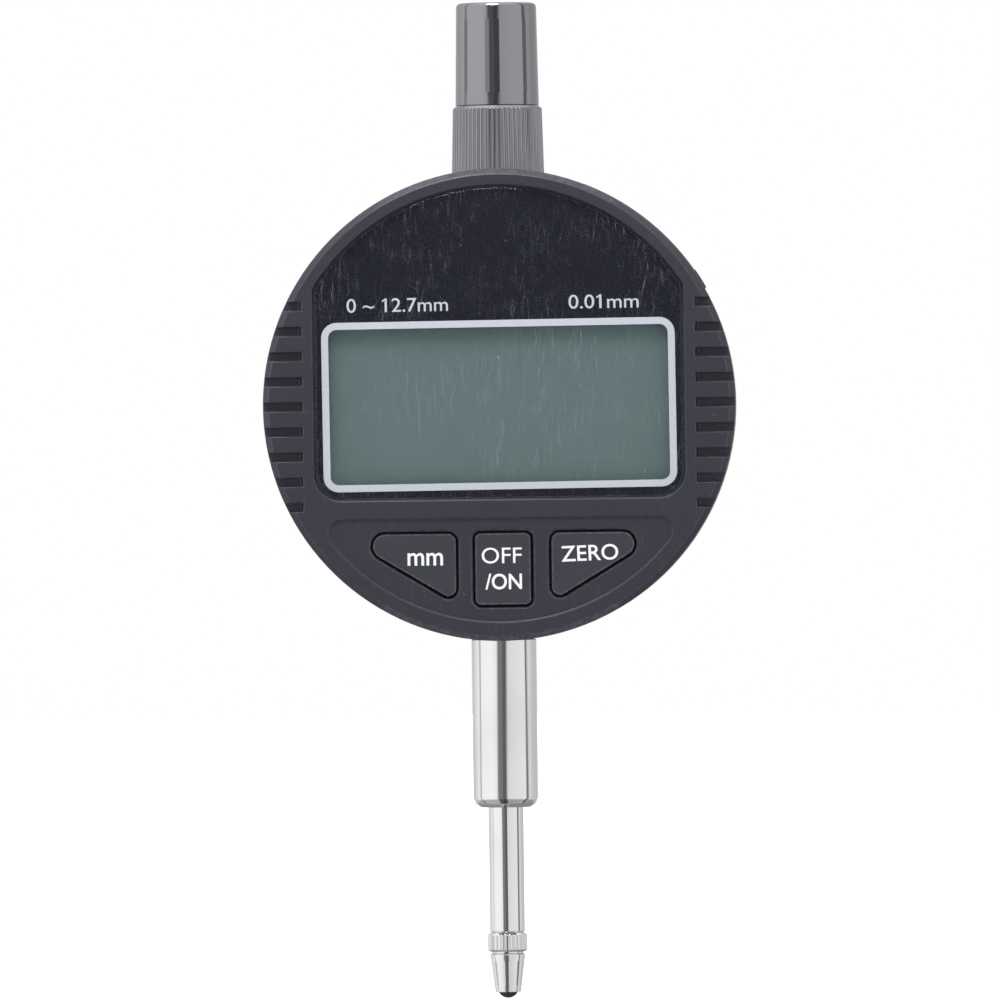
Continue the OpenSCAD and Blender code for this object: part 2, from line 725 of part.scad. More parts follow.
module stem() color([0.8, 0.8, 0.82]) difference() {
    rotate_extrude() polygon([
        [0, stem_foot_z], [stem_r - stem_chamfer, stem_foot_z],
        [stem_r - stem_chamfer / 3, stem_foot_z + stem_chamfer / 2],
        [stem_r, stem_foot_z + stem_chamfer * 1.3],
        [stem_r, stem_seat_z - fit], [thread_r, stem_seat_z - fit], [thread_r, stem_top_z], [0, stem_top_z]
    ]);
    translate([0, 0, stem_foot_z - over]) cylinder(r = bush_r, h = stem_top_z - stem_foot_z + 2 * over);
}

module stem_nut() color([0.6, 0.6, 0.58]) difference() {
    tube(nut_r, thread_r + fit, boss_top_z + fit, nut_top_z);
    // Slots for a pin wrench
    translate([-nut_r - over, -0.6, nut_top_z - 0.9]) cube([2 * nut_r + 2 * over, 1.2, 0.9 + over]);
}

module lower_bush() color([0.75, 0.6, 0.3])
    tube(bush_r - fit / 2, spindle_r + run_gap, stem_foot_z + 0.6, stem_foot_z + 0.6 + lower_bush_len);

module buffer_washer() color([0.08, 0.08, 0.08])
    tube(thread_r, spindle_r + 0.3, stem_top_z + fit, carriage_z - fit);

module neck() color([0.7, 0.7, 0.72])
    difference() {
        rotate_extrude() polygon([
            [0, neck_foot_z], [neck_root_r, neck_foot_z], [neck_root_r, neck_seat_z + fit],
            [neck_r, neck_seat_z + fit], [neck_r, neck_seat_z + neck_h - 0.4],
            [neck_r - 0.4, neck_seat_z + neck_h], [0, neck_seat_z + neck_h]
        ]);
        translate([0, 0, neck_foot_z - over]) cylinder(r = bush_r, h = body_r);
    }

module upper_bush() color([0.75, 0.6, 0.3])
    tube(bush_r - fit / 2, spindle_r + run_gap, neck_foot_z + 0.2, neck_foot_z + 0.2 + upper_bush_len);

// Guide rail, which keeps the carriage from turning
module guide_rail() color([0.65, 0.65, 0.66]) difference() {
    union() {
        translate([-rail_x - rail_w, -pin_r - 1.2, rail_low_z])
            cube([rail_w, floor_y - fit + pin_r + 1.2, rail_high_z - rail_low_z]);
        for (z = rail_foot_z)
            translate([-rail_x - rail_w - rail_foot_w, floor_y - fit - 1.3, body_z + z - rail_foot_h / 2])
                cube([rail_foot_w + over, 1.3, rail_foot_h]);
    }
    translate([-rail_x - pin_in_slot - 0.2, -pin_r - run_gap, rail_low_z - over])
        cube([pin_in_slot + 0.2 + over, 2 * (pin_r + run_gap), rail_high_z - rail_low_z + 2 * over]);
    for (z = rail_foot_z) rod_y([-rail_screw_x, z], small_screw_d / 2 + fit, floor_y - 3, floor_y + over);
}

// A small screw whose head bears on the rail's foot, pointing to the back
module rail_screws() color([0.7, 0.7, 0.7])
    for (z = rail_foot_z) {
        head_y = floor_y - 2 * fit - 1.3;
        rod_y([-rail_screw_x, z], small_screw_d / 2, head_y - 0.1, floor_y + 1.2);
        difference() {
            rod_y([-rail_screw_x, z], small_head_d / 2, head_y - small_head_h, head_y);
            slab(head_y - small_head_h - over, head_y - small_head_h + 0.35) translate([-rail_screw_x, z])
                square([small_head_d + over, 0.35], center = true);
        }
    }

module spring_anchor() color([0.7, 0.7, 0.72]) {
    at = [spring_x, spring_low_z - body_z];
    rod_y(at, anchor_r, spring_y - 1.2, floor_y + 1.2);
    rod_y(at, anchor_r + 0.35, spring_y - 1.7, spring_y - 1.2 + fit);
}

// Extension spring with its turns closed at rest and a hook at each end
module return_spring() color([0.75, 0.75, 0.77]) {
    coil_low = spring_low_z + hook_r;
    coil_high = spring_high_z - hook_r;
    translate([spring_x, spring_y, 0]) {
        difference() {
            translate([0, 0, coil_low]) cylinder(r = spring_d / 2, h = coil_high - coil_low);
            translate([0, 0, coil_low - over])
                cylinder(r = spring_d / 2 - wire_d, h = coil_high - coil_low + 2 * over);
        }
        for (z = [spring_low_z, spring_high_z]) translate([0, 0, z]) rotate([90, 0, 0])
            rotate_extrude() translate([hook_r, 0]) circle(wire_d / 2, $fn = 24);
        for (z = [coil_low, coil_high]) translate([0, 0, z]) rotate([0, 90, 0])
            cylinder(r = wire_d / 2, h = spring_d - wire_d, center = true);
    }
}

// ---- pieces that travel with the spindle ----

module spindle() color([0.82, 0.82, 0.84]) difference() {
    rotate_extrude() polygon([
        [0, spindle_foot_z], [spindle_r - 0.15, spindle_foot_z], [spindle_r, spindle_foot_z + 0.2],
        [spindle_r, spindle_top_z - 0.4], [spindle_r - 0.4, spindle_top_z], [0, spindle_top_z]
    ]);
    translate([0, 0, spindle_foot_z - over])
        cylinder(r = point_thread_d / 2 + fit, h = point_thread_len + 0.5 + over);
}

module carriage() color([0.7, 0.7, 0.72]) difference() {
    union() {
        translate([-carriage_half_w, carriage_y, carriage_z])
            cube([2 * carriage_half_w, carriage_back_y - carriage_y, carriage_h]);
        translate([-arm_x, -pin_r - 1, arm_z - pin_r - 1])
            cube([arm_x, 2 * pin_r + 2, 2 * pin_r + 2]);
        translate([0, ear_y, carriage_top_z - ear_h]) cube([ear_x, carriage_back_y - ear_y, ear_h]);
    }
    translate([0, 0, carriage_z - over]) cylinder(r = spindle_r + fit, h = carriage_h + 2 * over);
    translate([-arm_x - over, 0, arm_z]) rotate([0, 90, 0])
        cylinder(r = pin_r + fit, h = arm_x - carriage_half_w + over);
    rod_y([spring_x, spring_high_z - body_z], hook_pin_r + fit, spring_y, carriage_back_y + over);
    for (z = clamp_z) rod_y([0, z], clamp_r + fit, 0, carriage_back_y + over);
}

module carriage_screws() color([0.3, 0.3, 0.31])
    for (z = clamp_z) difference() {
        rod_y([0, z], clamp_r, spindle_r + 2 * fit, carriage_back_y);
        rod_y([0, z], clamp_r / 2, carriage_back_y - 0.6, carriage_back_y + over, $fn = 6);
    }

module scale_plate() color([0.15, 0.4, 0.3])
    translate([-scale_half_w, scale_y, carriage_z + 0.6])
        cube([2 * scale_half_w, scale_t - fit, scale_len]);

module guide_pin() color([0.8, 0.8, 0.82])
    translate([-rail_x - pin_in_slot, 0, arm_z]) rotate([0, 90, 0])
        cylinder(r = pin_r, h = rail_x + pin_in_slot - carriage_half_w - fit);

module spring_pin() color([0.8, 0.8, 0.82])
    rod_y([spring_x, spring_high_z - body_z], hook_pin_r, spring_y - 1, carriage_back_y);

// Knurled flange, plain cone and a thread that screws into the spindle
module contact_point() color([0.8, 0.8, 0.82]) {
    top_z = spindle_foot_z - fit;
    flange_z = top_z - flange_h;
    edge = 0.25;
    groove_r = 0.13;
    difference() {
        union() {
            rotate_extrude() polygon([
                [0, cone_foot_z], [cone_end_d / 2, cone_foot_z], [cone_top_d / 2, flange_z - 0.35],
                [cone_top_d / 2 - 0.2, flange_z - 0.2], [cone_top_d / 2 - 0.2, flange_z],
                [flange_d / 2 - edge, flange_z], [flange_d / 2, flange_z + edge],
                [flange_d / 2, top_z - edge], [flange_d / 2 - edge, top_z], [0, top_z]
            ]);
            translate([0, 0, top_z - fit]) cylinder(r = point_thread_d / 2, h = point_thread_len);
        }
        translate([0, 0, cone_foot_z - ball_out + ball_d / 2]) sphere(ball_d / 2 + fit / 2);
        for (k = [0 : flange_grooves - 1]) rotate(k * 360 / flange_grooves)
            translate([flange_d / 2 + groove_r / 3, 0, flange_z - fit])
                cylinder(r = groove_r, h = flange_h + 2 * fit, $fn = 16);
    }
}

module contact_ball() color([0.25, 0.25, 0.27])
    translate([0, 0, cone_foot_z - ball_out + ball_d / 2]) sphere(ball_d / 2);

// ---- buttons ----

// A key: its face, a flange that keeps it in the housing, and a stud over the switch
module key(spot) {
    front_y = keypad_y - button_proud;
    slab(front_y, wall_y + 0.1) children();
    slab(wall_y + 0.05, wall_y + 0.05 + button_flange_t) offset(button_flange, $fn = 48) children();
    rod_y(spot, 1.2, wall_y + button_flange_t, button_back_y);
}

module mm_button() color([0.2, 0.205, 0.22]) key(switch_spots[0]) left_button_outline();
module power_button() color([0.2, 0.205, 0.22]) key(switch_spots[1]) power_outline();
module zero_button() color([0.2, 0.205, 0.22]) key(switch_spots[2]) side_outline();

// ---- battery drawer ----

module battery_drawer() color([0.15, 0.155, 0.165]) in_drawer() {
    cover_in_r = body_r - head_t + 0.05;
    groove_x = head_w / 2 - lip_w - 1;
    difference() {
        union() {
            drawer_slab(-cell_y, tray_back_y) {
                translate([0, cell_u]) circle(tray_w / 2);
                translate([-tray_w / 2, cell_u]) square([tray_w, cover_in_r - cell_u - 0.2]);
            }
            // Curved cover with a raised finger lip at its lower end
            intersection() {
                translate([0.1 - head_w / 2, 0.1 - head_h / 2, 0]) cube([head_w - 0.2, head_h - 0.2, body_d]);
                drawer_slab(-head_h, head_h) difference() {
                    circle(body_r + head_proud, $fn = 180);
                    circle(cover_in_r, $fn = 180);
                }
            }
            intersection() {
                translate([head_w / 2 - 0.1 - lip_w, 0.6 - head_h / 2, 0])
                    cube([lip_w, head_h - 1.2, body_d]);
                drawer_slab(-head_h, head_h) difference() {
                    circle(body_r + head_proud + lip_proud, $fn = 180);
                    circle(cover_in_r, $fn = 180);
                }
            }
            // Web between the tray and the curved cover
            intersection() {
                translate([-tray_w / 2, -cell_y, cell_u]) cube([tray_w, cell_y + tray_back_y, body_d]);
                drawer_slab(-head_h, head_h) difference() {
                    circle(cover_in_r + 0.3, $fn = 180);
                    translate([0, cell_u]) circle(cell_d / 2 + tray_wall);
                }
            }
        }
        // Pocket for the cell, open to the contacts at its inner end
        drawer_slab(-cell_y - over, cell_y + 0.05) {
            translate([0, cell_u]) circle(cell_d / 2 + 0.1);
            translate([-contact_w - 1, cell_u - tray_w]) square([2 * contact_w + 2, tray_w]);
        }
        // Nail groove beside the lip
        groove_u = sqrt(pow(body_r + head_proud, 2) - pow(groove_x, 2)) + 0.3;
        translate([groove_x, 0, groove_u]) rotate([90, 0, 0])
            cylinder(r = 0.8, h = head_h - 1.6, center = true);
    }
}

module button_cell() color([0.78, 0.78, 0.8]) in_drawer()
    translate([0, cell_y, cell_u]) rotate([90, 0, 0]) rotate_extrude() polygon([
        [0, 0], [cell_d / 2 - 0.4, 0], [cell_d / 2, 0.4], [cell_d / 2, cell_t - 0.9],
        [cell_d / 2 - 0.5, cell_t - 0.5], [cell_d / 2 - 1.1, cell_t - 0.5], [cell_d / 2 - 1.4, cell_t],
        [0, cell_t]
    ]);

// ---- dust cap ----

module dust_cap() color([0.25, 0.25, 0.27]) {
    skirt_z = body_z + body_r + skirt_h;
    skirt_r = skirt_d / 2;
    lean = cap_taper / 2;
    skirt_len = skirt_z - cap_foot_z;
    neck_top_z = neck_seat_z + neck_h;
    difference() {
        rotate_extrude() polygon([
            [0, cap_foot_z], [skirt_r, cap_foot_z], [skirt_r - lean, skirt_z - cap_edge],
            [skirt_r - lean - cap_edge, skirt_z], [cap_d / 2, skirt_z],
            [cap_d / 2 - lean, cap_top_z - cap_edge],
            [cap_d / 2 - lean - cap_edge / 3, cap_top_z - cap_edge / 3],
            [cap_d / 2 - lean - cap_edge, cap_top_z], [0, cap_top_z]
        ]);
        translate([0, 0, cap_foot_z - over])
            cylinder(r = neck_r + cap_gap, h = neck_top_z + 0.3 - cap_foot_z + over);
        translate([0, 0, neck_top_z])
            cylinder(r = cap_hollow_d / 2, h = cap_top_z - cap_top_t - neck_top_z);
        for (k = [0 : knurl_count - 1]) rotate(k * 360 / knurl_count)
            translate([skirt_r + knurl_r / 3, 0, cap_foot_z - over]) rotate([0, -atan(lean / skirt_len), 0])
                cylinder(r = knurl_r, h = skirt_len + over - 0.02, $fn = 16);
    }
}

front_housing();
rear_housing();
housing_seal();
lug_back();
housing_screws();
window();
window_adhesive();
lcd_polarizer();
lcd_glass();
lcd_reflector();
lcd_frame();
zebra_strips();
main_board();
tactile_switches();
measuring_chip();
quartz_crystal();
chip_parts();
board_screws();
cell_contact_plus();
cell_contact_minus();
stem();
stem_nut();
lower_bush();
buffer_washer();
neck();
upper_bush();
guide_rail();
rail_screws();
spring_anchor();
return_spring();
spindle();
carriage();
carriage_screws();
scale_plate();
guide_pin();
spring_pin();
contact_point();
contact_ball();
mm_button();
power_button();
zero_button();
battery_drawer();
button_cell();
dust_cap();
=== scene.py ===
"""Looks of a digital dial indicator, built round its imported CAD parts.

Lengths are metres and the frame is the CAD's: +Z runs up the measuring axis to the dust cap,
the display faces -Y, and the origin is on the spindle axis half way down the stem.
"""

import json
import logging
import math
from collections.abc import Callable, Sequence
from dataclasses import dataclass, field, replace
from enum import Enum
from functools import cache

import bmesh
import bpy
from mathutils import Matrix, Vector
from mathutils.bvhtree import BVHTree

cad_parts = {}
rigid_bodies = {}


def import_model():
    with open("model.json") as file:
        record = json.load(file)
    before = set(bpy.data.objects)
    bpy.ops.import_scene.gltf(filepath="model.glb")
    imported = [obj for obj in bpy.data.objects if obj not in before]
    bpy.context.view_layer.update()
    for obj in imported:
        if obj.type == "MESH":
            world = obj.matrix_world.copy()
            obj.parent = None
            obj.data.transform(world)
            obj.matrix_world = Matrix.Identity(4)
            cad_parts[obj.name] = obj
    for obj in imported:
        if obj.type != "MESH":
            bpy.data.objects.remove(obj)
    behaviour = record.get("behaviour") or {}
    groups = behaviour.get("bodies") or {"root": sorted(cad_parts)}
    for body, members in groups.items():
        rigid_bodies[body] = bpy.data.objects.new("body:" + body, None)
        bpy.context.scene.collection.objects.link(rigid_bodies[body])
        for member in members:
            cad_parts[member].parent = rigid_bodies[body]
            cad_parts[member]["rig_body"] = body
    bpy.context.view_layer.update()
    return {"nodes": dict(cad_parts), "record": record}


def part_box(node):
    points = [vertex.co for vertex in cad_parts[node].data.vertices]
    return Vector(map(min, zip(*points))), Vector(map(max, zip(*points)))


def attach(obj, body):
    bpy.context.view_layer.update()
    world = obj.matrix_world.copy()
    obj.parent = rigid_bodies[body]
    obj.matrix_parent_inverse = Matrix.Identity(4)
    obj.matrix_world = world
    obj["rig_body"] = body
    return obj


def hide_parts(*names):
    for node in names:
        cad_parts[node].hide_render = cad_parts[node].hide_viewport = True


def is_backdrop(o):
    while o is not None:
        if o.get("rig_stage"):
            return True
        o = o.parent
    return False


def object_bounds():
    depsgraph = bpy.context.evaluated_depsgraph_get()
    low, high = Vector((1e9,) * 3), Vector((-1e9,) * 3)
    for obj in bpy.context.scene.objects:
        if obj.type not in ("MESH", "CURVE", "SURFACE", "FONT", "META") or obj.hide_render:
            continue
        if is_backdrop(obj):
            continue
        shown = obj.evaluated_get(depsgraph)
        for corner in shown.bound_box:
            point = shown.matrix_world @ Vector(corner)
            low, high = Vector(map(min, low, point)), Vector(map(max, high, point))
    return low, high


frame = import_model()

MM = 0.001
EDGE_MARK = "rounded_edge"
log = logging.getLogger("indicator")

Tree, Node, Socket = bpy.types.NodeTree, bpy.types.Node, bpy.types.NodeSocket
Material, Object, Mesh = bpy.types.Material, bpy.types.Object, bmesh.types.BMesh
Colour = tuple[float, float, float]
Point = tuple[float, float]

MERGE_WITHIN = 0.002 * MM  # corners this near each other are one
SEAM_BELOW = 0.4  # degrees; a flatter edge between two faces is only a seam
SAME_PLANE = 0.9999985  # cosine between faces of one flat side
BORDER = 1.4  # width of the strip round a flat side, in widths of its rounding
WIDE_SIDE = 1.3  # a side is wide from this many borders of area per length of rim
STRAY = 1.1  # a corner further from the old surface, in widths of the rounding, is a stray
OLD_FACE = 0.001 * MM  # a face whose middle is nearer the old surface is part of it
SMOOTH_BELOW = 32  # degrees; flatter edges are shaded smooth
TURN_BELOW = 42  # degrees; a corner that turns more keeps its own face's normal
NUDGE = 0.01 * MM  # how far past a face a test plane lies
KEYS = ("mm_button", "power_button", "zero_button")


# ---- small makers of nodes and meshes ----


def set_inputs(tree: Tree, node: Node, inputs: dict) -> None:
    """Feeds a node's inputs.

    Args:
        tree: The node tree it is in.
        node: The node.
        inputs: Input name or number to a value, or to the socket that feeds it.
    """
    for name, value in inputs.items():
        socket = node.inputs[name]
        if isinstance(value, Socket):
            tree.links.new(value, socket)
        elif socket.type == "RGBA":
            socket.default_value = (*value[:3], 1)
        else:
            socket.default_value = value


def add_node(tree: Tree, kind: str, inputs: dict | None = None, **settings) -> Node:
    """Adds one node to a tree.

    Args:
        tree: The node tree it goes into.
        kind: The node's type without its common first word, such as "TexNoise".
        inputs: Input name or number to a value, or to the socket that feeds it.
        settings: The node's own settings.

    Returns:
        The new node.
    """
    node = tree.nodes.new("ShaderNode" + kind)
    for name, value in settings.items():
        setattr(node, name, value)
    set_inputs(tree, node, inputs or {})
    return node


def maths(tree: Tree, operation: str, *values, clamp: bool = False) -> Socket:
    """Adds a Math node and gives its output.

    Args:
        tree: The node tree it goes into.
        operation: The sum it does, such as "MULTIPLY".
        values: Its inputs in order, numbers or sockets.
        clamp: Whether the answer is kept between 0 and 1.

    Returns:
        The output socket.
    """
    node = add_node(tree, "Math", dict(enumerate(values)), operation=operation)
    node.use_clamp = clamp
    return node.outputs[0]


def ramp(tree: Tree, value, low: float, high: float, start: float = 0.0, end: float = 1.0) -> Socket:
    """Adds a smooth Map Range node.

    Args:
        tree: The node tree it goes into.
        value: The number or socket that is mapped.
        low: The value that gives start.
        high: The value that gives end.
        start: Output at low.
        end: Output at high.

    Returns:
        The output socket.
    """
    inputs = {"Value": value, "From Min": low, "From Max": high, "To Min": start, "To Max": end}
    return add_node(tree, "MapRange", inputs, interpolation_type="SMOOTHSTEP").outputs["Result"]


def blend_colours(tree: Tree, factor, first, second) -> Socket:
    """Adds a colour Mix node.

    Args:
        tree: The node tree it goes into.
        factor: Share of the second colour, a number or a socket.
        first: Colour of three or four numbers, or a socket.
        second: Colour of three or four numbers, or a socket.

    Returns:
        The mixed colour's socket.
    """
    return add_node(tree, "Mix", {0: factor, 6: first, 7: second}, data_type="RGBA").outputs[2]


def new_object(name: str, data: bpy.types.ID) -> Object:
    """Makes an object and puts it in the scene.

    Args:
        name: Its name.
        data: Its mesh, curve, light or camera.

    Returns:
        The new object.
    """
    made = bpy.data.objects.new(name, data)
    bpy.context.scene.collection.objects.link(made)
    return made


def scaled(colour: Colour, share: float) -> Colour:
    """Makes a colour darker or lighter.

    Args:
        colour: The colour.
        share: What each of its parts is multiplied by.

    Returns:
        The new colour.
    """
    return tuple(part * share for part in colour)


def place(mesh_maker: Mesh, name: str, body: str, slot: str | None) -> Object:
    """Turns a bmesh into a finished piece that rides on a CAD body.

    Args:
        mesh_maker: The bmesh, in the CAD frame; it is freed.
        name: The piece's name.
        body: The CAD body it rides on.
        slot: The record's material slot, or None; not used.

    Returns:
        The new object.
    """
    mesh = bpy.data.meshes.new(name)
    for face in mesh_maker.faces:
        face.smooth = True
    mesh_maker.to_mesh(mesh)
    mesh_maker.free()
    mesh.set_sharp_from_angle(angle=math.radians(SMOOTH_BELOW))
    piece = new_object(name, mesh)
    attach(piece, body)
    return piece


@dataclass(frozen=True)
class Rounding:
    """Which sharp edges of a part are rounded, and by how much."""

    width: float
    segments: int = 2
    sharper_than: float = 28.0
    where: Callable[[Vector], bool] | None = None

    def edges(self, part: Mesh) -> list[bmesh.types.BMEdge]:
        """Finds the edges to round.

        Args:
            part: The mesh that is being rounded.

        Returns:
            Its edges that are sharp enough and in the right place.
        """
        limit = math.radians(self.sharper_than)
        return [
            e for e in part.edges
            if len(e.link_faces) == 2 and e.calc_face_angle(0) > limit
            and (self.where is None or all(self.where(v.co) for v in e.verts))
        ]

    def apply(self, part: Mesh) -> None:
        """Bevels those edges.

        Args:
            part: The mesh that is being rounded.
        """
        bmesh.ops.bevel(
            part, geom=self.edges(part), offset=self.width, offset_type="OFFSET", segments=self.segments,
            profile=0.5, affect="EDGES", clamp_overlap=False, loop_slide=True, material=-1,
        )


def merged_copy(node: str) -> Mesh:
    """Copies a CAD node's mesh, merged and with its flat sides cut into well-shaped triangles.

    Args:
        node: The CAD node's name.

    Returns:
        A closed bmesh without the mesh's needless corners.
    """
    part = bmesh.new()
    part.from_mesh(frame["nodes"][node].data)
    bmesh.ops.remove_doubles(part, verts=part.verts, dist=MERGE_WITHIN)
    flat = math.radians(SEAM_BELOW)
    seams = [edge for edge in part.edges if len(edge.link_faces) == 2 and edge.calc_face_angle(1) < flat]
    bmesh.ops.beautify_fill(part, faces=part.faces, edges=seams, use_restrict_tag=False, method="AREA")
    return part


def flat_sides(part: Mesh) -> list[list[bmesh.types.BMFace]]:
    """Groups a mesh's faces into its flat sides.

    Args:
        part: The mesh.

    Returns:
        The sides, each a list of touching faces that lie in one plane.
    """
    part.normal_update()
    left, sides = set(part.faces), []
    for start in part.faces:
        if start not in left:
            continue
        left.remove(start)
        side, todo = [start], [start]
        while todo:
            for edge in todo.pop().edges:
                near = [face for face in edge.link_faces
                        if face in left and face.normal.dot(start.normal) > SAME_PLANE]
                left.difference_update(near)
                side += near
                todo += near
        sides.append(side)
    return sides


def border_flats(part: Mesh, roundings: Sequence[Rounding]) -> None:
    """Gives each wide flat side a border of even strips, so that rounding leaves its middle alone.

    Args:
        part: The mesh.
        roundings: What will be rounded; a side's border is wider than the widest one on its rim.
    """
    for side in flat_sides(part):
        inside = set(side)
        area = sum(face.calc_area() for face in side)
        edges = dict.fromkeys(edge for face in side for edge in face.edges)
        rim = [edge for edge in edges if any(other not in inside for other in edge.link_faces)]
        length = sum(edge.calc_length() for edge in rim)
        ends = [vertex.co for edge in rim for vertex in edge.verts]
        widths = [rounding.width for rounding in roundings
                  if rounding.where is None or any(map(rounding.where, ends))]
        margin = BORDER * max(widths, default=0.0)
        if margin > 0 and len(side) > 1 and length > 0 and area / length > WIDE_SIDE * margin:
            bmesh.ops.inset_region(part, faces=side, thickness=margin, use_boundary=True, use_even_offset=True)


def pull_back(part: Mesh, before: BVHTree, box: tuple[Vector, Vector], reach: float) -> None:
    """Puts corners that rounding threw too far back on the surface they came from.

    Args:
        part: The mesh after a rounding.
        before: The surface it had before.
        box: The low and high corner of that surface, which nothing may pass.
        reach: The furthest a corner may rightly be from that surface.
    """
    for vertex in part.verts:
        nearest, _, _, away = before.find_nearest(vertex.co)
        if away > reach or any(not low <= at <= high for at, low, high in zip(vertex.co, *box)):
            vertex.co = nearest


def even_normals(part: Mesh, before: BVHTree) -> tuple[list[Vector], list[float]]:
    """Works out shading normals that keep flat sides flat and let only the rounded edges turn.

    Args:
        part: The mesh after its edges were rounded.
        before: The surface it had before.

    Returns:
        One normal for each corner of each face, and for each vertex 1 if it is amid a rounded edge, else 0.
    """
    part.normal_update()
    old = {face for face in part.faces
           if (before.find_nearest(face.calc_center_median())[3] or 0) < OLD_FACE}
    limit = math.cos(math.radians(TURN_BELOW))
    ways, amid = [], []
    for vertex in part.verts:
        kept = [face for face in vertex.link_faces if face in old]
        total = sum((face.normal * face.calc_area() for face in kept or vertex.link_faces), Vector())
        ways.append(total.normalized() if total.length > 0 else vertex.normal)
        amid.append(0.0 if kept else 1.0)
    corners = []
    for face in part.faces:
        for corner in face.loops:
            way = ways[corner.vert.index]
            corners.append(way if way.dot(face.normal) > limit else face.normal.copy())
    return corners, amid


def rounded_part(node: str, *roundings: Rounding) -> Object:
    """Builds the visible piece of a CAD node, with its edges broken as the making leaves them.

    Args:
        node: The CAD node it stands for.
        roundings: What is rounded, in order.

    Returns:
        The new object, which replaces the node.
    """
    part = merged_copy(node)
    before = BVHTree.FromBMesh(part)
    ends = [[vertex.co[axis] for vertex in part.verts] for axis in range(3)]
    box = Vector(map(min, ends)), Vector(map(max, ends))
    border_flats(part, roundings)
    for rounding in roundings:
        rounding.apply(part)
        pull_back(part, before, box, STRAY * rounding.width)
    part.verts.index_update()
    corners, amid = even_normals(part, before)
    piece = place(part, node + "_finished", frame["nodes"][node]["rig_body"], SLOTS[node])
    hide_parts(node)
    piece.data.materials.append(PALETTE[SLOTS[node]])
    piece.data.normals_split_custom_set(corners)
    piece.data.attributes.new(EDGE_MARK, "FLOAT", "POINT").data.foreach_set("value", amid)
    return piece


def rounded_rectangle(
    width: float, height: float, radius: float, centre: Point, depth: float, steps: int = 6,
) -> Mesh:
    """A flat rectangle with round corners in the front view.

    Args:
        width: Along x.
        height: Along z.
        radius: Of its corners.
        centre: Its middle as x and z.
        depth: Its y.
        steps: Segments in a corner.

    Returns:
        A bmesh of one face that looks towards -Y.
    """
    x, z = centre
    ways = ((-0.5, -0.5), (0.5, -0.5), (0.5, 0.5), (-0.5, 0.5))
    flat = bmesh.new()
    flat.faces.new([flat.verts.new((x + across * width, depth, z + up * height)) for across, up in ways])
    bmesh.ops.bevel(
        flat, geom=flat.verts[:], offset=radius, offset_type="OFFSET", segments=steps,
        profile=0.5, affect="VERTICES", clamp_overlap=True, material=-1,
    )
    return flat


def thicken(flat: Mesh, thickness: float) -> None:
    """Gives a flat sheet in the front view a thickness towards +Y.

    Args:
        flat: The sheet.
        thickness: How thick it becomes.
    """
    grown = bmesh.ops.extrude_face_region(flat, geom=flat.faces[:])["geom"]
    moved = [g for g in grown if isinstance(g, bmesh.types.BMVert)]
    bmesh.ops.translate(flat, verts=moved, vec=(0, -thickness, 0))
    bmesh.ops.translate(flat, verts=flat.verts, vec=(0, thickness, 0))
    bmesh.ops.recalc_face_normals(flat, faces=flat.faces)


# ---- effects that several finishes share ----


@dataclass(frozen=True)
class Effect:
    """A shader node group that is built once and used in many materials."""

    name: str
    inputs: tuple[tuple[str, float], ...]
    outputs: tuple[str, ...]
    wire: Callable[[Tree, Node, Node], None]

    def group(self) -> Tree:
        """Gives the group, and makes it the first time."""
        made = bpy.data.node_groups.get(self.name)
        if made:
            return made
        tree = bpy.data.node_groups.new(self.name, "ShaderNodeTree")
        tree.interface.new_socket("Vector", in_out="INPUT", socket_type="NodeSocketVector")
        for name, value in self.inputs:
            tree.interface.new_socket(name, in_out="INPUT", socket_type="NodeSocketFloat").default_value = value
        for name in self.outputs:
            tree.interface.new_socket(name, in_out="OUTPUT", socket_type="NodeSocketFloat")
        self.wire(tree, tree.nodes.new("NodeGroupInput"), tree.nodes.new("NodeGroupOutput"))
        return tree

    def use(self, tree: Tree, vector: Socket, **values: float) -> Node:
        """Places the effect in a material.

        Args:
            tree: The material's node tree.
            vector: The coordinates it works on.
            values: Its inputs by name, with _ for a space.

        Returns:
            The group node.
        """
        node = add_node(tree, "Group", node_tree=self.group())
        tree.links.new(vector, node.inputs["Vector"])
        for name, value in values.items():
            node.inputs[name.replace("_", " ")].default_value = value
        return node


def _wire_grain(tree: Tree, given: Node, result: Node) -> None:
    """Fine moulded or blasted grain: coarse and fine noise added."""
    vector, scale = given.outputs["Vector"], given.outputs["Scale"]
    noises = []
    for times, detail, roughness in ((1.0, 3.0, 0.6), (3.7, 2.0, 0.5), (0.04, 3.0, 0.5)):
        finer = maths(tree, "MULTIPLY", scale, times)
        noise = {"Vector": vector, "Scale": finer, "Detail": detail, "Roughness": roughness}
        noises.append(add_node(tree, "TexNoise", noise).outputs["Fac"])
    coarse, fine, patch = noises
    height = maths(tree, "MULTIPLY_ADD", fine, 0.5, coarse)
    set_inputs(tree, result, {"Height": height, "Tone": coarse, "Patch": patch})


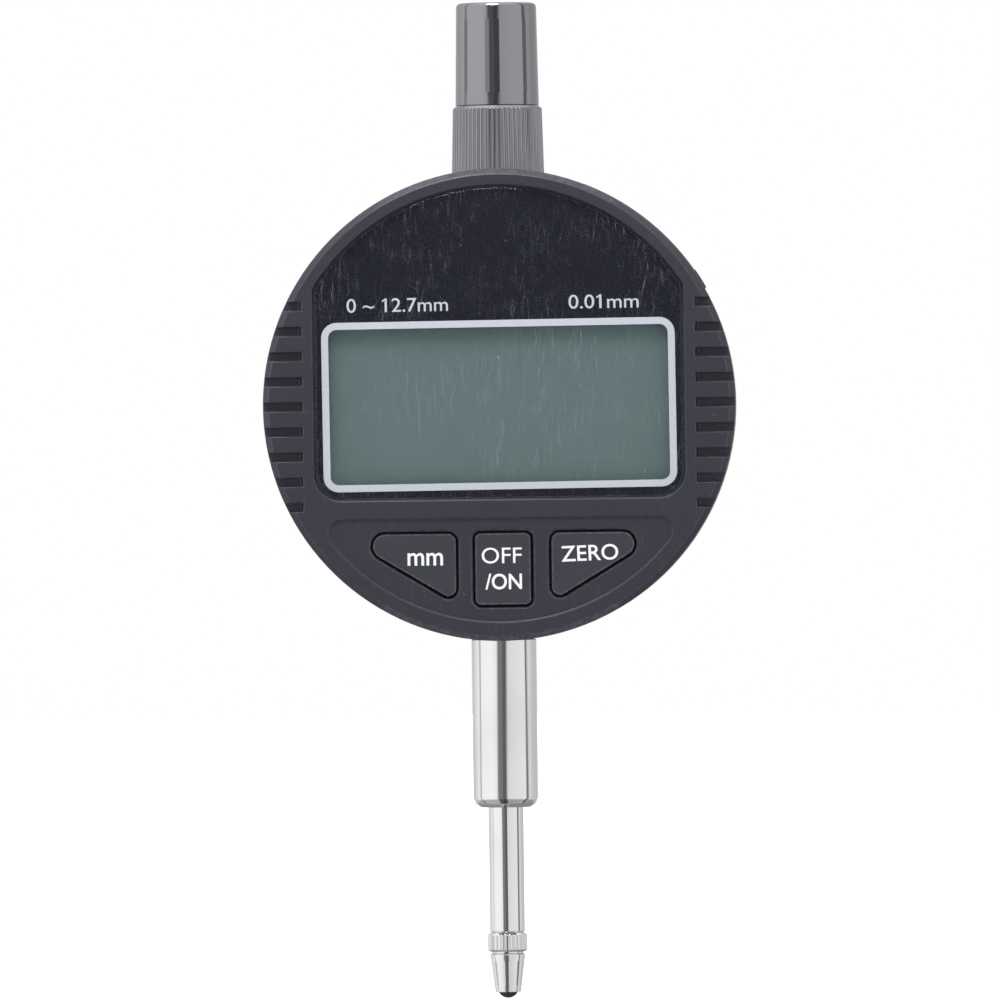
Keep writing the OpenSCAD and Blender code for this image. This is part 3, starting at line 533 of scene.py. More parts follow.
def _wire_scratches(tree: Tree, given: Node, result: Node) -> None:
    """Thin marks that run mostly one way and come in patches."""
    vector, across, along, amount = (given.outputs[name] for name in ("Vector", "Across", "Along", "Amount"))
    scale = add_node(tree, "CombineXYZ", {0: across, 1: across, 2: along}).outputs[0]
    marks = 0.0
    for turn, shift, strength in ((0.05, 0.0, 1.0), (-0.22, 3.1, 0.8), (0.9, 7.7, 0.35)):
        placed = {"Vector": vector, "Location": (shift, shift, 0), "Rotation": (0, turn, 0)}
        laid = add_node(tree, "Mapping", placed).outputs[0]
        stretched = add_node(tree, "VectorMath", {0: laid, 1: scale}, operation="MULTIPLY").outputs[0]
        noise = {"Vector": stretched, "Scale": 1.0, "Detail": 1.0, "Roughness": 0.4}
        streak = ramp(tree, add_node(tree, "TexNoise", noise).outputs["Fac"], 0.66, 0.74)
        marks = maths(tree, "MULTIPLY_ADD", streak, strength, marks)
    where = add_node(tree, "TexNoise", {"Vector": vector, "Scale": 140.0, "Detail": 3.0})
    patchy = maths(tree, "MULTIPLY", marks, ramp(tree, where.outputs["Fac"], 0.38, 0.62, 0.15, 1.0))
    tree.links.new(maths(tree, "MULTIPLY", patchy, amount, clamp=True), result.inputs["Mask"])


def _wire_dust(tree: Tree, given: Node, result: Node) -> None:
    """Sparse specks of uneven size."""
    vector, scale, size = (given.outputs[name] for name in ("Vector", "Scale", "Size"))
    cells = add_node(tree, "TexVoronoi", {"Vector": vector, "Scale": scale}, feature="F1")
    chance = add_node(tree, "SeparateColor", {0: cells.outputs["Color"]})
    radius = maths(tree, "MULTIPLY", size, ramp(tree, chance.outputs[0], 0.82, 1.0))
    speck = maths(tree, "LESS_THAN", cells.outputs["Distance"], radius)
    tree.links.new(maths(tree, "MULTIPLY", speck, chance.outputs[1]), result.inputs["Mask"])


def _wire_wear_and_glint(tree: Tree, given: Node, result: Node) -> None:
    """Rubbed edges, also a painted highlight on plastic edges, broken up by noise, where the piece's own
    attribute marks a rounded edge.
    """
    vector, scale, amount = (given.outputs[name] for name in ("Vector", "Scale", "Amount"))
    edge = add_node(tree, "Attribute", attribute_name=EDGE_MARK).outputs["Fac"]
    noise = add_node(tree, "TexNoise", {"Vector": vector, "Scale": scale, "Detail": 4.0}).outputs["Fac"]
    rubbed_and_glint = maths(tree, "MULTIPLY", ramp(tree, edge, 0.3, 0.9), ramp(tree, noise, 0.35, 0.7, 0.2, 1.0))
    tree.links.new(maths(tree, "MULTIPLY", rubbed_and_glint, amount, clamp=True), result.inputs["Edge"])


GRAIN = Effect("grain", (("Scale", 5000.0),), ("Height", "Tone", "Patch"), _wire_grain)
SCRATCHES = Effect(
    "scratches", (("Across", 9000.0), ("Along", 260.0), ("Amount", 1.0)), ("Mask",), _wire_scratches,
)
DUST = Effect("dust", (("Scale", 900.0), ("Size", 0.12)), ("Mask",), _wire_dust)
# Rounded-edge mask: plastics lighten these edges as real wear and as a painted highlight; coated metal shows
# bare metal there.
WEAR_AND_GLINT = Effect("wear_and_glint", (("Scale", 900.0), ("Amount", 1.0)), ("Edge",), _wire_wear_and_glint)


# ---- finishes ----


class Lay(Enum):
    """Which way the tool marks of a metal run."""

    ROUND = (14000.0, 14000.0)
    FLAT = (5200.0, 5200.0)


@dataclass(frozen=True)
class Finish:
    """What every finish has: a name, and nodes that it adds to a new material."""

    name: str

    def material(self) -> Material:
        """Builds the material."""
        material = bpy.data.materials.new(self.name)
        material.use_nodes = True
        tree = material.node_tree
        self.wire(tree, tree.nodes["Principled BSDF"], add_node(tree, "TexCoord").outputs["Object"])
        return material

    def wire(self, tree: Tree, shader: Node, at: Socket) -> None:
        """Adds the finish's own nodes.

        Args:
            tree: The material's node tree.
            shader: Its Principled BSDF.
            at: The object coordinates.
        """
        raise NotImplementedError

    def bump(self, tree: Tree, shader: Node, height: Socket, depth: float) -> None:
        """Feeds a height to the shader's normal.

        Args:
            tree: The material's node tree.
            shader: The Principled BSDF.
            height: The height from 0 to about 1.
            depth: The height of 1, in metres.
        """
        node = add_node(tree, "Bump", {"Height": height, "Distance": depth, "Strength": 1.0})
        tree.links.new(node.outputs[0], shader.inputs["Normal"])


@dataclass(frozen=True)
class MouldedPlastic(Finish):
    """Moulded plastic with a fine grain, rubbed edges lightened partly as wear and partly as a painted
    highlight, light scuffs and dust.
    """

    colour: Colour
    roughness: float
    grain: float = 0.004 * MM
    grain_scale: float = 5200.0
    # The edge share and the lighter edge colour stand for real wear and for a painted highlight on the rounded
    # edges.
    wear_and_glint: float = 0.5
    scuffs: float = 0.10
    dust: float = 0.3
    worn_and_glint: Colour = (0.20, 0.20, 0.21)
    dust_colour: Colour = (0.55, 0.55, 0.55)

    def wire(self, tree: Tree, shader: Node, at: Socket) -> None:
        """Adds the plastic's nodes."""
        grain = GRAIN.use(tree, at, Scale=self.grain_scale).outputs
        wear_and_glint = WEAR_AND_GLINT.use(tree, at, Scale=1700.0, Amount=self.wear_and_glint).outputs["Edge"]
        scuffs = SCRATCHES.use(tree, at, Across=9000.0, Along=300.0, Amount=self.scuffs).outputs["Mask"]
        dust = DUST.use(tree, at, Scale=1100.0, Size=0.10).outputs["Mask"]
        base = blend_colours(tree, grain["Patch"], scaled(self.colour, 0.95), scaled(self.colour, 1.05))
        # Painted edge highlight and real wear: rounded edges and scuffs take the lighter edge colour.
        base = blend_colours(tree, maths(tree, "ADD", wear_and_glint, scuffs, clamp=True), base, self.worn_and_glint)
        base = blend_colours(tree, maths(tree, "MULTIPLY", dust, self.dust), base, self.dust_colour)
        spread = ramp(tree, grain["Tone"], 0.3, 0.7, self.roughness - 0.06, self.roughness + 0.06)
        rough = maths(tree, "SUBTRACT", spread, maths(tree, "MULTIPLY", wear_and_glint, 0.12))
        set_inputs(tree, shader, {"Base Color": base, "Roughness": rough})
        self.bump(tree, shader, grain["Height"], self.grain)


@dataclass(frozen=True)
class BareMetal(Finish):
    """Ground, turned or polished metal with tool marks, handling marks and a slight stain."""

    colour: Colour
    roughness: float
    lay: Lay = Lay.ROUND
    marks: float = 0.0006 * MM
    stain: float = 0.12
    scratches: float = 0.35

    def wire(self, tree: Tree, shader: Node, at: Socket) -> None:
        """Adds the metal's nodes."""
        across, along = self.lay.value
        stretch = (60.0, 60.0, across) if self.lay is Lay.ROUND else (across, across, along)
        stretched = add_node(tree, "VectorMath", {0: at, 1: stretch}, operation="MULTIPLY").outputs[0]
        noise = {"Vector": stretched, "Scale": 1.0, "Detail": 3.0, "Roughness": 0.7}
        lines = add_node(tree, "TexNoise", noise).outputs["Fac"]
        cloud = GRAIN.use(tree, at, Scale=2600.0).outputs["Patch"]
        scratched = SCRATCHES.use(tree, at, Across=4200.0, Along=240.0, Amount=self.scratches).outputs["Mask"]
        stained = maths(tree, "MULTIPLY", ramp(tree, cloud, 0.42, 0.68), self.stain)
        base = blend_colours(tree, stained, self.colour, scaled(self.colour, 0.55))
        base = blend_colours(tree, maths(tree, "MULTIPLY", lines, 0.12), base, scaled(self.colour, 0.75))
        rough = ramp(tree, lines, 0.3, 0.7, self.roughness * 0.75, self.roughness * 1.3)
        rough = maths(tree, "MULTIPLY_ADD", stained, 0.5, maths(tree, "MULTIPLY_ADD", scratched, 0.16, rough))
        set_inputs(tree, shader, {"Base Color": base, "Metallic": 1.0, "Roughness": rough})
        self.bump(tree, shader, maths(tree, "MULTIPLY_ADD", scratched, -1.5, lines), self.marks)


@dataclass(frozen=True)
class CoatedMetal(Finish):
    """Painted or blackened metal, with orange peel and bright metal showing at rubbed edges."""

    colour: Colour
    roughness: float
    bare: Colour = (0.4, 0.4, 0.4)
    wear_and_glint: float = 0.35
    peel: float = 0.003 * MM

    def wire(self, tree: Tree, shader: Node, at: Socket) -> None:
        """Adds the coating's nodes."""
        peel = GRAIN.use(tree, at, Scale=2300.0).outputs
        wear_and_glint = WEAR_AND_GLINT.use(tree, at, Scale=2600.0, Amount=self.wear_and_glint).outputs["Edge"]
        base = blend_colours(tree, peel["Patch"], scaled(self.colour, 0.8), scaled(self.colour, 1.2))
        rubbed_and_glint = ramp(tree, wear_and_glint, 0.1, 0.4, 0.0, 0.6)
        base = blend_colours(tree, rubbed_and_glint, base, self.bare)
        rough = ramp(tree, peel["Tone"], 0.3, 0.7, self.roughness - 0.05, self.roughness + 0.07)
        set_inputs(tree, shader, {"Base Color": base, "Metallic": rubbed_and_glint, "Roughness": rough})
        self.bump(tree, shader, peel["Height"], self.peel)


@dataclass(frozen=True)
class ClearPlate(Finish):
    """Clear acrylic or glass with fine scratches and dust on it, which lets light through."""

    tint: Colour = (0.92, 0.94, 0.97)
    scratches: float = 0.45
    dust: float = 0.6
    bending: float = 1.38
    scratch_depth: float = 0.0012 * MM
    mark_colour: Colour = (0.55, 0.56, 0.6)

    def wire(self, tree: Tree, shader: Node, at: Socket) -> None:
        """Adds the plate's nodes."""
        scratched = SCRATCHES.use(tree, at, Across=9500.0, Along=330.0, Amount=self.scratches).outputs["Mask"]
        dust = DUST.use(tree, at, Scale=900.0, Size=0.115).outputs["Mask"]
        rough = maths(tree, "MULTIPLY_ADD", scratched, 0.22, 0.02)
        shader.inputs["Transmission Weight"].default_value = 1.0
        set_inputs(tree, shader, {"Base Color": self.tint, "IOR": self.bending, "Roughness": rough})
        self.bump(tree, shader, maths(tree, "MULTIPLY", scratched, -1.0), self.scratch_depth)
        marks = add_node(tree, "BsdfDiffuse", {"Color": self.mark_colour, "Roughness": 1.0})
        dusty = maths(tree, "MULTIPLY", dust, self.dust)
        share = maths(tree, "MULTIPLY_ADD", scratched, 0.38, dusty, clamp=True)
        surface = add_node(tree, "MixShader", {0: share, 1: shader.outputs[0], 2: marks.outputs[0]})
        through = add_node(tree, "BsdfTransparent", {"Color": self.tint})
        path = add_node(tree, "LightPath").outputs
        unseen = maths(tree, "MAXIMUM", path["Is Shadow Ray"], path["Is Diffuse Ray"])
        ends = add_node(tree, "MixShader", {0: unseen, 1: surface.outputs[0], 2: through.outputs[0]})
        tree.links.new(ends.outputs[0], tree.nodes["Material Output"].inputs["Surface"])


@dataclass(frozen=True)
class Ink(Finish):
    """Screen-printed ink with slightly uneven cover."""

    colour: Colour
    roughness: float = 0.45
    thin: float = 0.12
    bumps: float = 0.0002 * MM

    def wire(self, tree: Tree, shader: Node, at: Socket) -> None:
        """Adds the ink's nodes."""
        cover = GRAIN.use(tree, at, Scale=6000.0).outputs
        base = blend_colours(tree, cover["Tone"], scaled(self.colour, 1 - self.thin), self.colour)
        rough = ramp(tree, cover["Tone"], 0.3, 0.7, self.roughness - 0.05, self.roughness + 0.05)
        set_inputs(tree, shader, {"Base Color": base, "Roughness": rough})
        self.bump(tree, shader, cover["Height"], self.bumps)


@dataclass(frozen=True)
class DisplayFilm(Finish):
    """The display's polarizer: an even grey-green film with a faint cloud and fine grain."""

    colour: Colour
    cloud: float = 0.12
    grain: float = 0.001 * MM

    def wire(self, tree: Tree, shader: Node, at: Socket) -> None:
        """Adds the film's nodes."""
        grain = GRAIN.use(tree, at, Scale=4200.0).outputs
        soft = add_node(tree, "TexNoise", {"Vector": at, "Scale": 55.0, "Detail": 2.0}).outputs["Fac"]
        shade = scaled(self.colour, 1 - self.cloud)
        base = blend_colours(tree, soft, shade, self.colour)
        base = blend_colours(tree, maths(tree, "MULTIPLY", grain["Tone"], 0.14), base, shade)
        rough = ramp(tree, grain["Tone"], 0.3, 0.7, 0.38, 0.5)
        coat = {"Coat Weight": 0.3, "Coat Roughness": 0.15}
        set_inputs(tree, shader, {"Base Color": base, "Roughness": rough, **coat})
        self.bump(tree, shader, grain["Height"], self.grain)


@dataclass(frozen=True)
class SolderMask(Finish):
    """A circuit board: solder mask over a faint raster of tracks, with tinned pads."""

    colour: Colour = (0.02, 0.12, 0.05)
    tin: Colour = (0.62, 0.6, 0.52)
    track_pitch: float = 1.1 * MM
    track_t: float = 0.02 * MM

    def wire(self, tree: Tree, shader: Node, at: Socket) -> None:
        """Adds the board's nodes."""
        raster = {"Vector": at, "Scale": 1 / self.track_pitch, "Randomness": 0.35}
        cells = add_node(tree, "TexVoronoi", raster, feature="F1", distance="CHEBYCHEV").outputs["Distance"]
        track = ramp(tree, cells, 0.42, 0.46)
        pad = maths(tree, "LESS_THAN", cells, 0.13)
        base = blend_colours(tree, track, self.colour, scaled(self.colour, 1.9))
        base = blend_colours(tree, pad, base, self.tin)
        rough = ramp(tree, cells, 0.1, 0.4, 0.25, 0.38)
        set_inputs(tree, shader, {"Base Color": base, "Metallic": pad, "Roughness": rough})
        self.bump(tree, shader, maths(tree, "ADD", track, pad), self.track_t)


@dataclass(frozen=True)
class Palette:
    """Every finish of the indicator by the record's slot, and the inks."""

    finishes: tuple[tuple[str, Finish], ...] = (
        # The housing's lighter edge colour is partly a painted highlight on its rounded edges and partly wear.
        ("black_plastic", MouldedPlastic(
            "housing_plastic", (0.029, 0.030, 0.042), 0.38, wear_and_glint=0.2, worn_and_glint=(0.22, 0.22, 0.25))),
        ("key_plastic", MouldedPlastic(
            "key_plastic", (0.036, 0.038, 0.049), 0.40, grain=0.003 * MM, wear_and_glint=0.35, scuffs=0.06)),
        ("black_anodised", BareMetal(
            "dark_anodised", (0.30, 0.30, 0.32), 0.10, marks=0.0003 * MM, stain=0.06, scratches=0.25)),
        ("black_metal", CoatedMetal("painted_back", (0.03, 0.03, 0.034), 0.5)),
        ("dark_steel", BareMetal("blackened_steel", (0.16, 0.16, 0.17), 0.28, Lay.FLAT)),
        ("polished_steel", BareMetal("ground_steel", (0.79, 0.79, 0.79), 0.055, marks=0.00025 * MM)),
        ("spring_steel", BareMetal("spring_wire", (0.55, 0.55, 0.57), 0.22, Lay.FLAT)),
        ("carbide", BareMetal("carbide", (0.10, 0.10, 0.11), 0.14, Lay.FLAT, scratches=0.1)),
        ("bronze", BareMetal("bush_bronze", (0.62, 0.42, 0.2), 0.24)),
        ("brass_contact", BareMetal("plated_brass", (0.75, 0.64, 0.36), 0.24, Lay.FLAT)),
        ("machined_aluminium", BareMetal("milled_aluminium", (0.66, 0.66, 0.67), 0.3, Lay.FLAT)),
        ("nickel_plate", BareMetal("nickel_plate", (0.68, 0.67, 0.65), 0.2, Lay.FLAT)),
        ("window_glass", ClearPlate("window_acrylic")),
        ("lcd_glass", ClearPlate("display_glass", (0.88, 0.93, 0.9), scratches=0.0, dust=0.0)),
        ("lcd_film", DisplayFilm("display_polarizer", (0.126, 0.182, 0.163))),
        ("silver_film", BareMetal("reflector_film", (0.7, 0.72, 0.7), 0.4, Lay.FLAT)),
        ("white_plastic", MouldedPlastic("white_frame", (0.75, 0.75, 0.73), 0.5, worn_and_glint=(0.85, 0.85, 0.85))),
        ("black_tape", MouldedPlastic(
            "foam_tape", (0.015, 0.015, 0.015), 0.8, grain=0.02 * MM, grain_scale=2600.0, wear_and_glint=0.1)),
        ("switch_plastic", MouldedPlastic("switch_plastic", (0.03, 0.03, 0.03), 0.4)),
        ("circuit_board", SolderMask("solder_mask")),
        ("black_resin", MouldedPlastic("chip_resin", (0.012, 0.012, 0.012), 0.22, grain=0.002 * MM, wear_and_glint=0.1)),
        ("ceramic_chip", MouldedPlastic("ceramic", (0.42, 0.3, 0.18), 0.5)),
        ("rubber", MouldedPlastic("rubber", (0.02, 0.02, 0.02), 0.7, grain=0.01 * MM)),
        ("mask_ink", Ink("mask_ink", (0.002, 0.0025, 0.012), 0.3)),
        ("white_ink", Ink("white_ink", (0.60, 0.61, 0.64), 0.5, 0.05)),
        ("key_ink", Ink("key_ink", (0.86, 0.87, 0.9), 0.5, 0.05)),
    )
    made: dict[str, Material] = field(default_factory=dict)

    def __getitem__(self, slot: str) -> Material:
        """Gives a slot's material, and makes it the first time.

        Args:
            slot: The record's slot, or an ink's name.

        Returns:
            Its material.
        """
        if slot not in self.made:
            self.made[slot] = dict(self.finishes)[slot].material()
        return self.made[slot]


SLOTS: dict[str, str] = {row["node"]: row["material_slot"] for row in frame["record"]["subparts"]}
PALETTE = Palette()


# ---- printing ----


LETTER_STEPS = 5  # segments in each piece of a letter's curve
# The slanting stroke at the top of a 1, from its left top corner, in heights of the 1
FLAG = ((0.02, 0), (-0.20, -0.16), (-0.20, -0.27), (0.02, -0.15))


@dataclass(frozen=True)
class Lettering:
    """One line of printed letters, fitted to a box in the front view."""

    text: str
    left: float
    right: float
    middle: float
    height: float
    heavier: float = 0.0
    turn: float = 0.0

    def build(self, name: str, body: str, depth: float, thickness: float, ink: Material) -> Object:
        """Makes the letters.

        Args:
            name: The piece's name.
            body: The CAD body they ride on.
            depth: The y of their front.
            thickness: How thick the print is.
            ink: Their material.

        Returns:
            The piece.
        """
        curve = bpy.data.curves.new(name, "FONT")
        curve.body = self.text
        curve.offset = self.heavier
        curve.resolution_u = LETTER_STEPS
        words = new_object(name, curve)
        bpy.context.view_layer.update()
        mesh = bpy.data.meshes.new_from_object(words)
        bpy.data.objects.remove(words)
        letters = bmesh.new()
        letters.from_mesh(mesh)
        bpy.data.meshes.remove(mesh)
        bmesh.ops.remove_doubles(letters, verts=letters.verts, dist=1e-5)
        xs, ys = ([v.co[axis] for v in letters.verts] for axis in (0, 1))
        grow_x = (self.right - self.left) / (max(xs) - min(xs))
        grow_y = self.height / (max(ys) - min(ys))
        middle = Vector(((max(xs) + min(xs)) / 2, (max(ys) + min(ys)) / 2, 0))
        bmesh.ops.translate(letters, verts=letters.verts, vec=-middle)
        bmesh.ops.scale(letters, verts=letters.verts, vec=(grow_x, grow_y, 1))
        self.flag_ones(letters)
        for turn, axis in ((self.turn, "Z"), (90, "X")):
            spin = Matrix.Rotation(math.radians(turn), 3, axis)
            bmesh.ops.rotate(letters, verts=letters.verts, matrix=spin)
        place_at = ((self.left + self.right) / 2, depth, self.middle)
        bmesh.ops.translate(letters, verts=letters.verts, vec=place_at)
        thicken(letters, thickness)
        piece = place(letters, name, body, None)
        piece.data.materials.append(ink)
        return piece

    def flag_ones(self, letters: Mesh) -> None:
        """Gives every 1 the short slanting stroke at its top.

        Args:
            letters: The flat letters, one loose part for each.
        """
        loose, glyphs = set(letters.verts), []
        while loose:
            todo = [loose.pop()]
            glyph = list(todo)
            while todo:
                near = [v for edge in todo.pop().link_edges for v in edge.verts if v in loose]
                loose.difference_update(near)
                glyph += near
                todo += near
            glyphs.append(glyph)
        glyphs.sort(key=lambda glyph: min(v.co.x for v in glyph))
        marks = self.text.replace(" ", "")
        if len(marks) != len(glyphs):
            return
        for mark, glyph in zip(marks, glyphs):
            if mark != "1":
                continue
            left, top = min(v.co.x for v in glyph), max(v.co.y for v in glyph)
            tall = top - min(v.co.y for v in glyph)
            letters.faces.new([letters.verts.new((left + x * tall, top + y * tall, 0)) for x, y in FLAG])


# ---- the sub-assemblies ----


@cache
def display_centre() -> Point:
    """Gives the display's middle as x and z."""
    low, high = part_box("lcd_glass")
    return 0.0, (low.z + high.z) / 2


@dataclass
class Housing:
    """The two housing halves, their seal, the lug back and its screws."""

    edge: float = 0.14 * MM
    key_lip: float = 0.42 * MM
    key_reach: float = 0.6 * MM
    panel_back: float = 0.3 * MM
    panel_play: float = 0.02 * MM

    def near_keys(self) -> Callable[[Vector], bool]:
        """Gives the test for a corner on the front rim of a key opening.

        Returns:
            A function of a corner's place.
        """
        keys = []
        for node in KEYS:
            key = merged_copy(node)
            keys.append(BVHTree.FromBMesh(key))
            key.free()
        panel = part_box("mm_button")[0].y + self.panel_back

        def on_rim(at: Vector) -> bool:
            """Tests one corner."""
            on_panel = abs(at.y - panel) < self.panel_play
            return on_panel and any(key.find_nearest(at)[3] < self.key_reach for key in keys)

        return on_rim

    def build(self) -> list[Object]:
        """Builds both halves and the back.

        Returns:
            The pieces.
        """
        small = Rounding(self.edge)
        return [
            rounded_part("front_housing", Rounding(self.key_lip, 4, where=self.near_keys()), small),
            rounded_part("rear_housing", small),
            rounded_part("housing_seal", Rounding(0.05 * MM)),
            rounded_part("lug_back", Rounding(0.3 * MM, 3)),
            rounded_part("housing_screws", Rounding(0.08 * MM)),
        ]


@dataclass
class Window:
    """The clear window with the black mask, white frame and lettering printed on its back."""

    frame_size: Point = (43.4 * MM, 20.8 * MM)
    frame_line: float = 0.86 * MM
    frame_corner: float = 1.9 * MM
    chamfer: float = 0.22 * MM
    print_t: float = 0.02 * MM
    mask_layer: float = 2.5
    white_layer: float = 4
    mask_inset: float = 0.12 * MM
    tilt: float = 0.35
    words_above: float = 12.45 * MM
    words_height: float = 1.72 * MM
    words_bold: float = 0.004

    def build(self) -> list[Object]:
        """Builds the plate and what is printed on it.

        Returns:
            The pieces.
        """
        low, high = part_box("window")
        face = low.y + NUDGE
        plate = rounded_part("window", Rounding(self.chamfer, 2, where=lambda at: at.y < face))
        mask = self.mask(high.y - self.mask_layer * self.print_t)
        white = high.y - self.white_layer * self.print_t
        return [plate, mask, self.white_frame(white), *self.words(white)]

    def mask(self, depth: float) -> Object:
        """Builds the black printed mask round the sight opening.

        Args:
            depth: The y of its front.

        Returns:
            The piece.
        """
        outline = merged_copy("window")
        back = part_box("window")[1].y - NUDGE
        others = [f for f in outline.faces if f.calc_center_median().y < back]
        bmesh.ops.delete(outline, geom=others, context="FACES")
        seams = [e for e in outline.edges if not e.is_boundary]
        bmesh.ops.dissolve_edges(outline, edges=seams, use_verts=False)
        bmesh.ops.inset_region(outline, faces=outline.faces[:], thickness=self.mask_inset, use_boundary=True)
        rim = [f for f in outline.faces if len(f.verts) == 4]
        bmesh.ops.delete(outline, geom=rim, context="FACES")
        bmesh.ops.delete(outline, geom=outline.faces[:], context="FACES_ONLY")
        width, height = (side - self.frame_line for side in self.frame_size)
        hole = rounded_rectangle(width, height, self.frame_corner - self.frame_line / 2, display_centre(), back)
        hole_mesh = bpy.data.meshes.new("hole")
        hole.to_mesh(hole_mesh)
        hole.free()
        outline.from_mesh(hole_mesh)
        bpy.data.meshes.remove(hole_mesh)
        bmesh.ops.delete(outline, geom=outline.faces[:], context="FACES_ONLY")
        for vertex in outline.verts:
            vertex.co.y = depth
        bmesh.ops.triangle_fill(
            outline, use_beauty=True, use_dissolve=False, edges=outline.edges[:], normal=(0, -1, 0),
        )
        thicken(outline, self.print_t)
        piece = place(outline, "window_mask", "housing", None)
        piece.data.materials.append(PALETTE["mask_ink"])
        return piece

    def white_frame(self, depth: float) -> Object:
        """Builds the white line round the display.

        Args:
            depth: The y of its front.

        Returns:
            The piece.
        """
        line = rounded_rectangle(*self.frame_size, self.frame_corner, display_centre(), depth, 8)
        bmesh.ops.inset_region(line, faces=line.faces[:], thickness=self.frame_line, use_boundary=True)
        inner = [f for f in line.faces if len(f.verts) > 4]
        bmesh.ops.delete(line, geom=inner, context="FACES")
        thicken(line, self.print_t)
        piece = place(line, "window_frame_line", "housing", None)
        piece.data.materials.append(PALETTE["white_ink"])
        return self.tilted(piece)

    def tilted(self, piece: Object) -> Object:
        """Turns a printed piece by the small error the print is applied with.

        Args:
            piece: The piece.

        Returns:
            The same piece.
        """
        x, z = display_centre()
        middle = Vector((x, 0, z))
        turn = Matrix.Rotation(math.radians(-self.tilt), 4, "Y")
        piece.data.transform(Matrix.Translation(middle) @ turn @ Matrix.Translation(-middle))
        return piece

    def words(self, depth: float) -> list[Object]:
        """Builds the two lines above the display.

        Args:
            depth: The y of their front.

        Returns:
            The pieces.
        """
        pieces = []
        for name, text, left, right in (
            ("print_range", "0 ~ 12.7mm", -18.5 * MM, -6.05 * MM),
            ("print_step", "0.01mm", 8.75 * MM, 17.35 * MM),
        ):
            middle = display_centre()[1] + self.words_above
            words = Lettering(text, left, right, middle, self.words_height, self.words_bold)
            piece = words.build(name, "housing", depth, self.print_t, PALETTE["white_ink"])
            pieces.append(self.tilted(piece))
        return pieces


@dataclass
class Keypad:
    """The three keys and what is printed on them."""

    edge: float = 0.28 * MM
    back_edge: float = 0.06 * MM
    print_t: float = 0.03 * MM
    print_proud: float = 0.004 * MM
    words: tuple[tuple[str, str, str, Lettering], ...] = (
        ("print_unit", "mm_button", "mm_key", Lettering(
            "mm", -11.45 * MM, -7.1 * MM, -18.85 * MM, 1.55 * MM, 0.012)),
        ("print_off", "power_button", "power_key", Lettering(
            "OFF", -2.35 * MM, 2.55 * MM, -18.5 * MM, 1.95 * MM)),
        ("print_on", "power_button", "power_key", Lettering(
            "/ON", -1.95 * MM, 2.55 * MM, -21.7 * MM, 1.95 * MM, 0.015)),
        ("print_zero", "zero_button", "zero_key", Lettering(
            "ZERO", 7.4 * MM, 14.4 * MM, -18.3 * MM, 1.95 * MM, 0.008, 1.8)),
    )

    def build(self) -> list[Object]:
        """Builds the keys.

        Returns:
            The pieces.
        """
        pieces = []
        for node in KEYS:
            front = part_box(node)[0].y + NUDGE
            rim = Rounding(self.edge, 4, where=lambda at, front=front: at.y < front)
            pieces.append(rounded_part(node, rim, Rounding(self.back_edge)))
        for name, node, body, words in self.words:
            raised = replace(words, middle=words.middle + display_centre()[1])
            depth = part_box(node)[0].y - self.print_proud
            pieces.append(raised.build(name, body, depth, self.print_t, PALETTE["key_ink"]))
        return pieces


@dataclass
class PlainSet:
    """A sub-assembly whose pieces only need their edges broken, each by its own width in millimetres."""

    edges: dict[str, float]
    segments: int = 2

    def build(self) -> list[Object]:
        """Builds the pieces.

        Returns:
            The pieces.
        """
        edges = self.edges.items()
        return [rounded_part(node, Rounding(width * MM, self.segments)) for node, width in edges]


DISPLAY = PlainSet({
    "lcd_polarizer": 0.04, "lcd_glass": 0.05, "lcd_reflector": 0.03, "lcd_frame": 0.08,
    "zebra_strips": 0.06, "window_adhesive": 0.03,
})
STEM = PlainSet({
    "stem": 0.12, "stem_nut": 0.1, "lower_bush": 0.1, "buffer_washer": 0.15, "neck": 0.12, "upper_bush": 0.1,
}, segments=3)
SPINDLE_SET = PlainSet({
    "spindle": 0.06, "contact_point": 0.05, "carriage": 0.2, "carriage_screws": 0.06,
    "scale_plate": 0.05, "guide_pin": 0.12, "spring_pin": 0.1,
})
INSIDE = PlainSet({
    "main_board": 0.05, "tactile_switches": 0.15, "measuring_chip": 0.05, "quartz_crystal": 0.1,
    "chip_parts": 0.08, "board_screws": 0.07, "cell_contact_plus": 0.04, "cell_contact_minus": 0.04,
    "guide_rail": 0.15, "rail_screws": 0.07, "spring_anchor": 0.08,
})
DRAWER = PlainSet({"battery_drawer": 0.1})
CELL = PlainSet({"button_cell": 0.12}, segments=3)
DUST_CAP = PlainSet({"dust_cap": 0.05})


# ---- studio ----


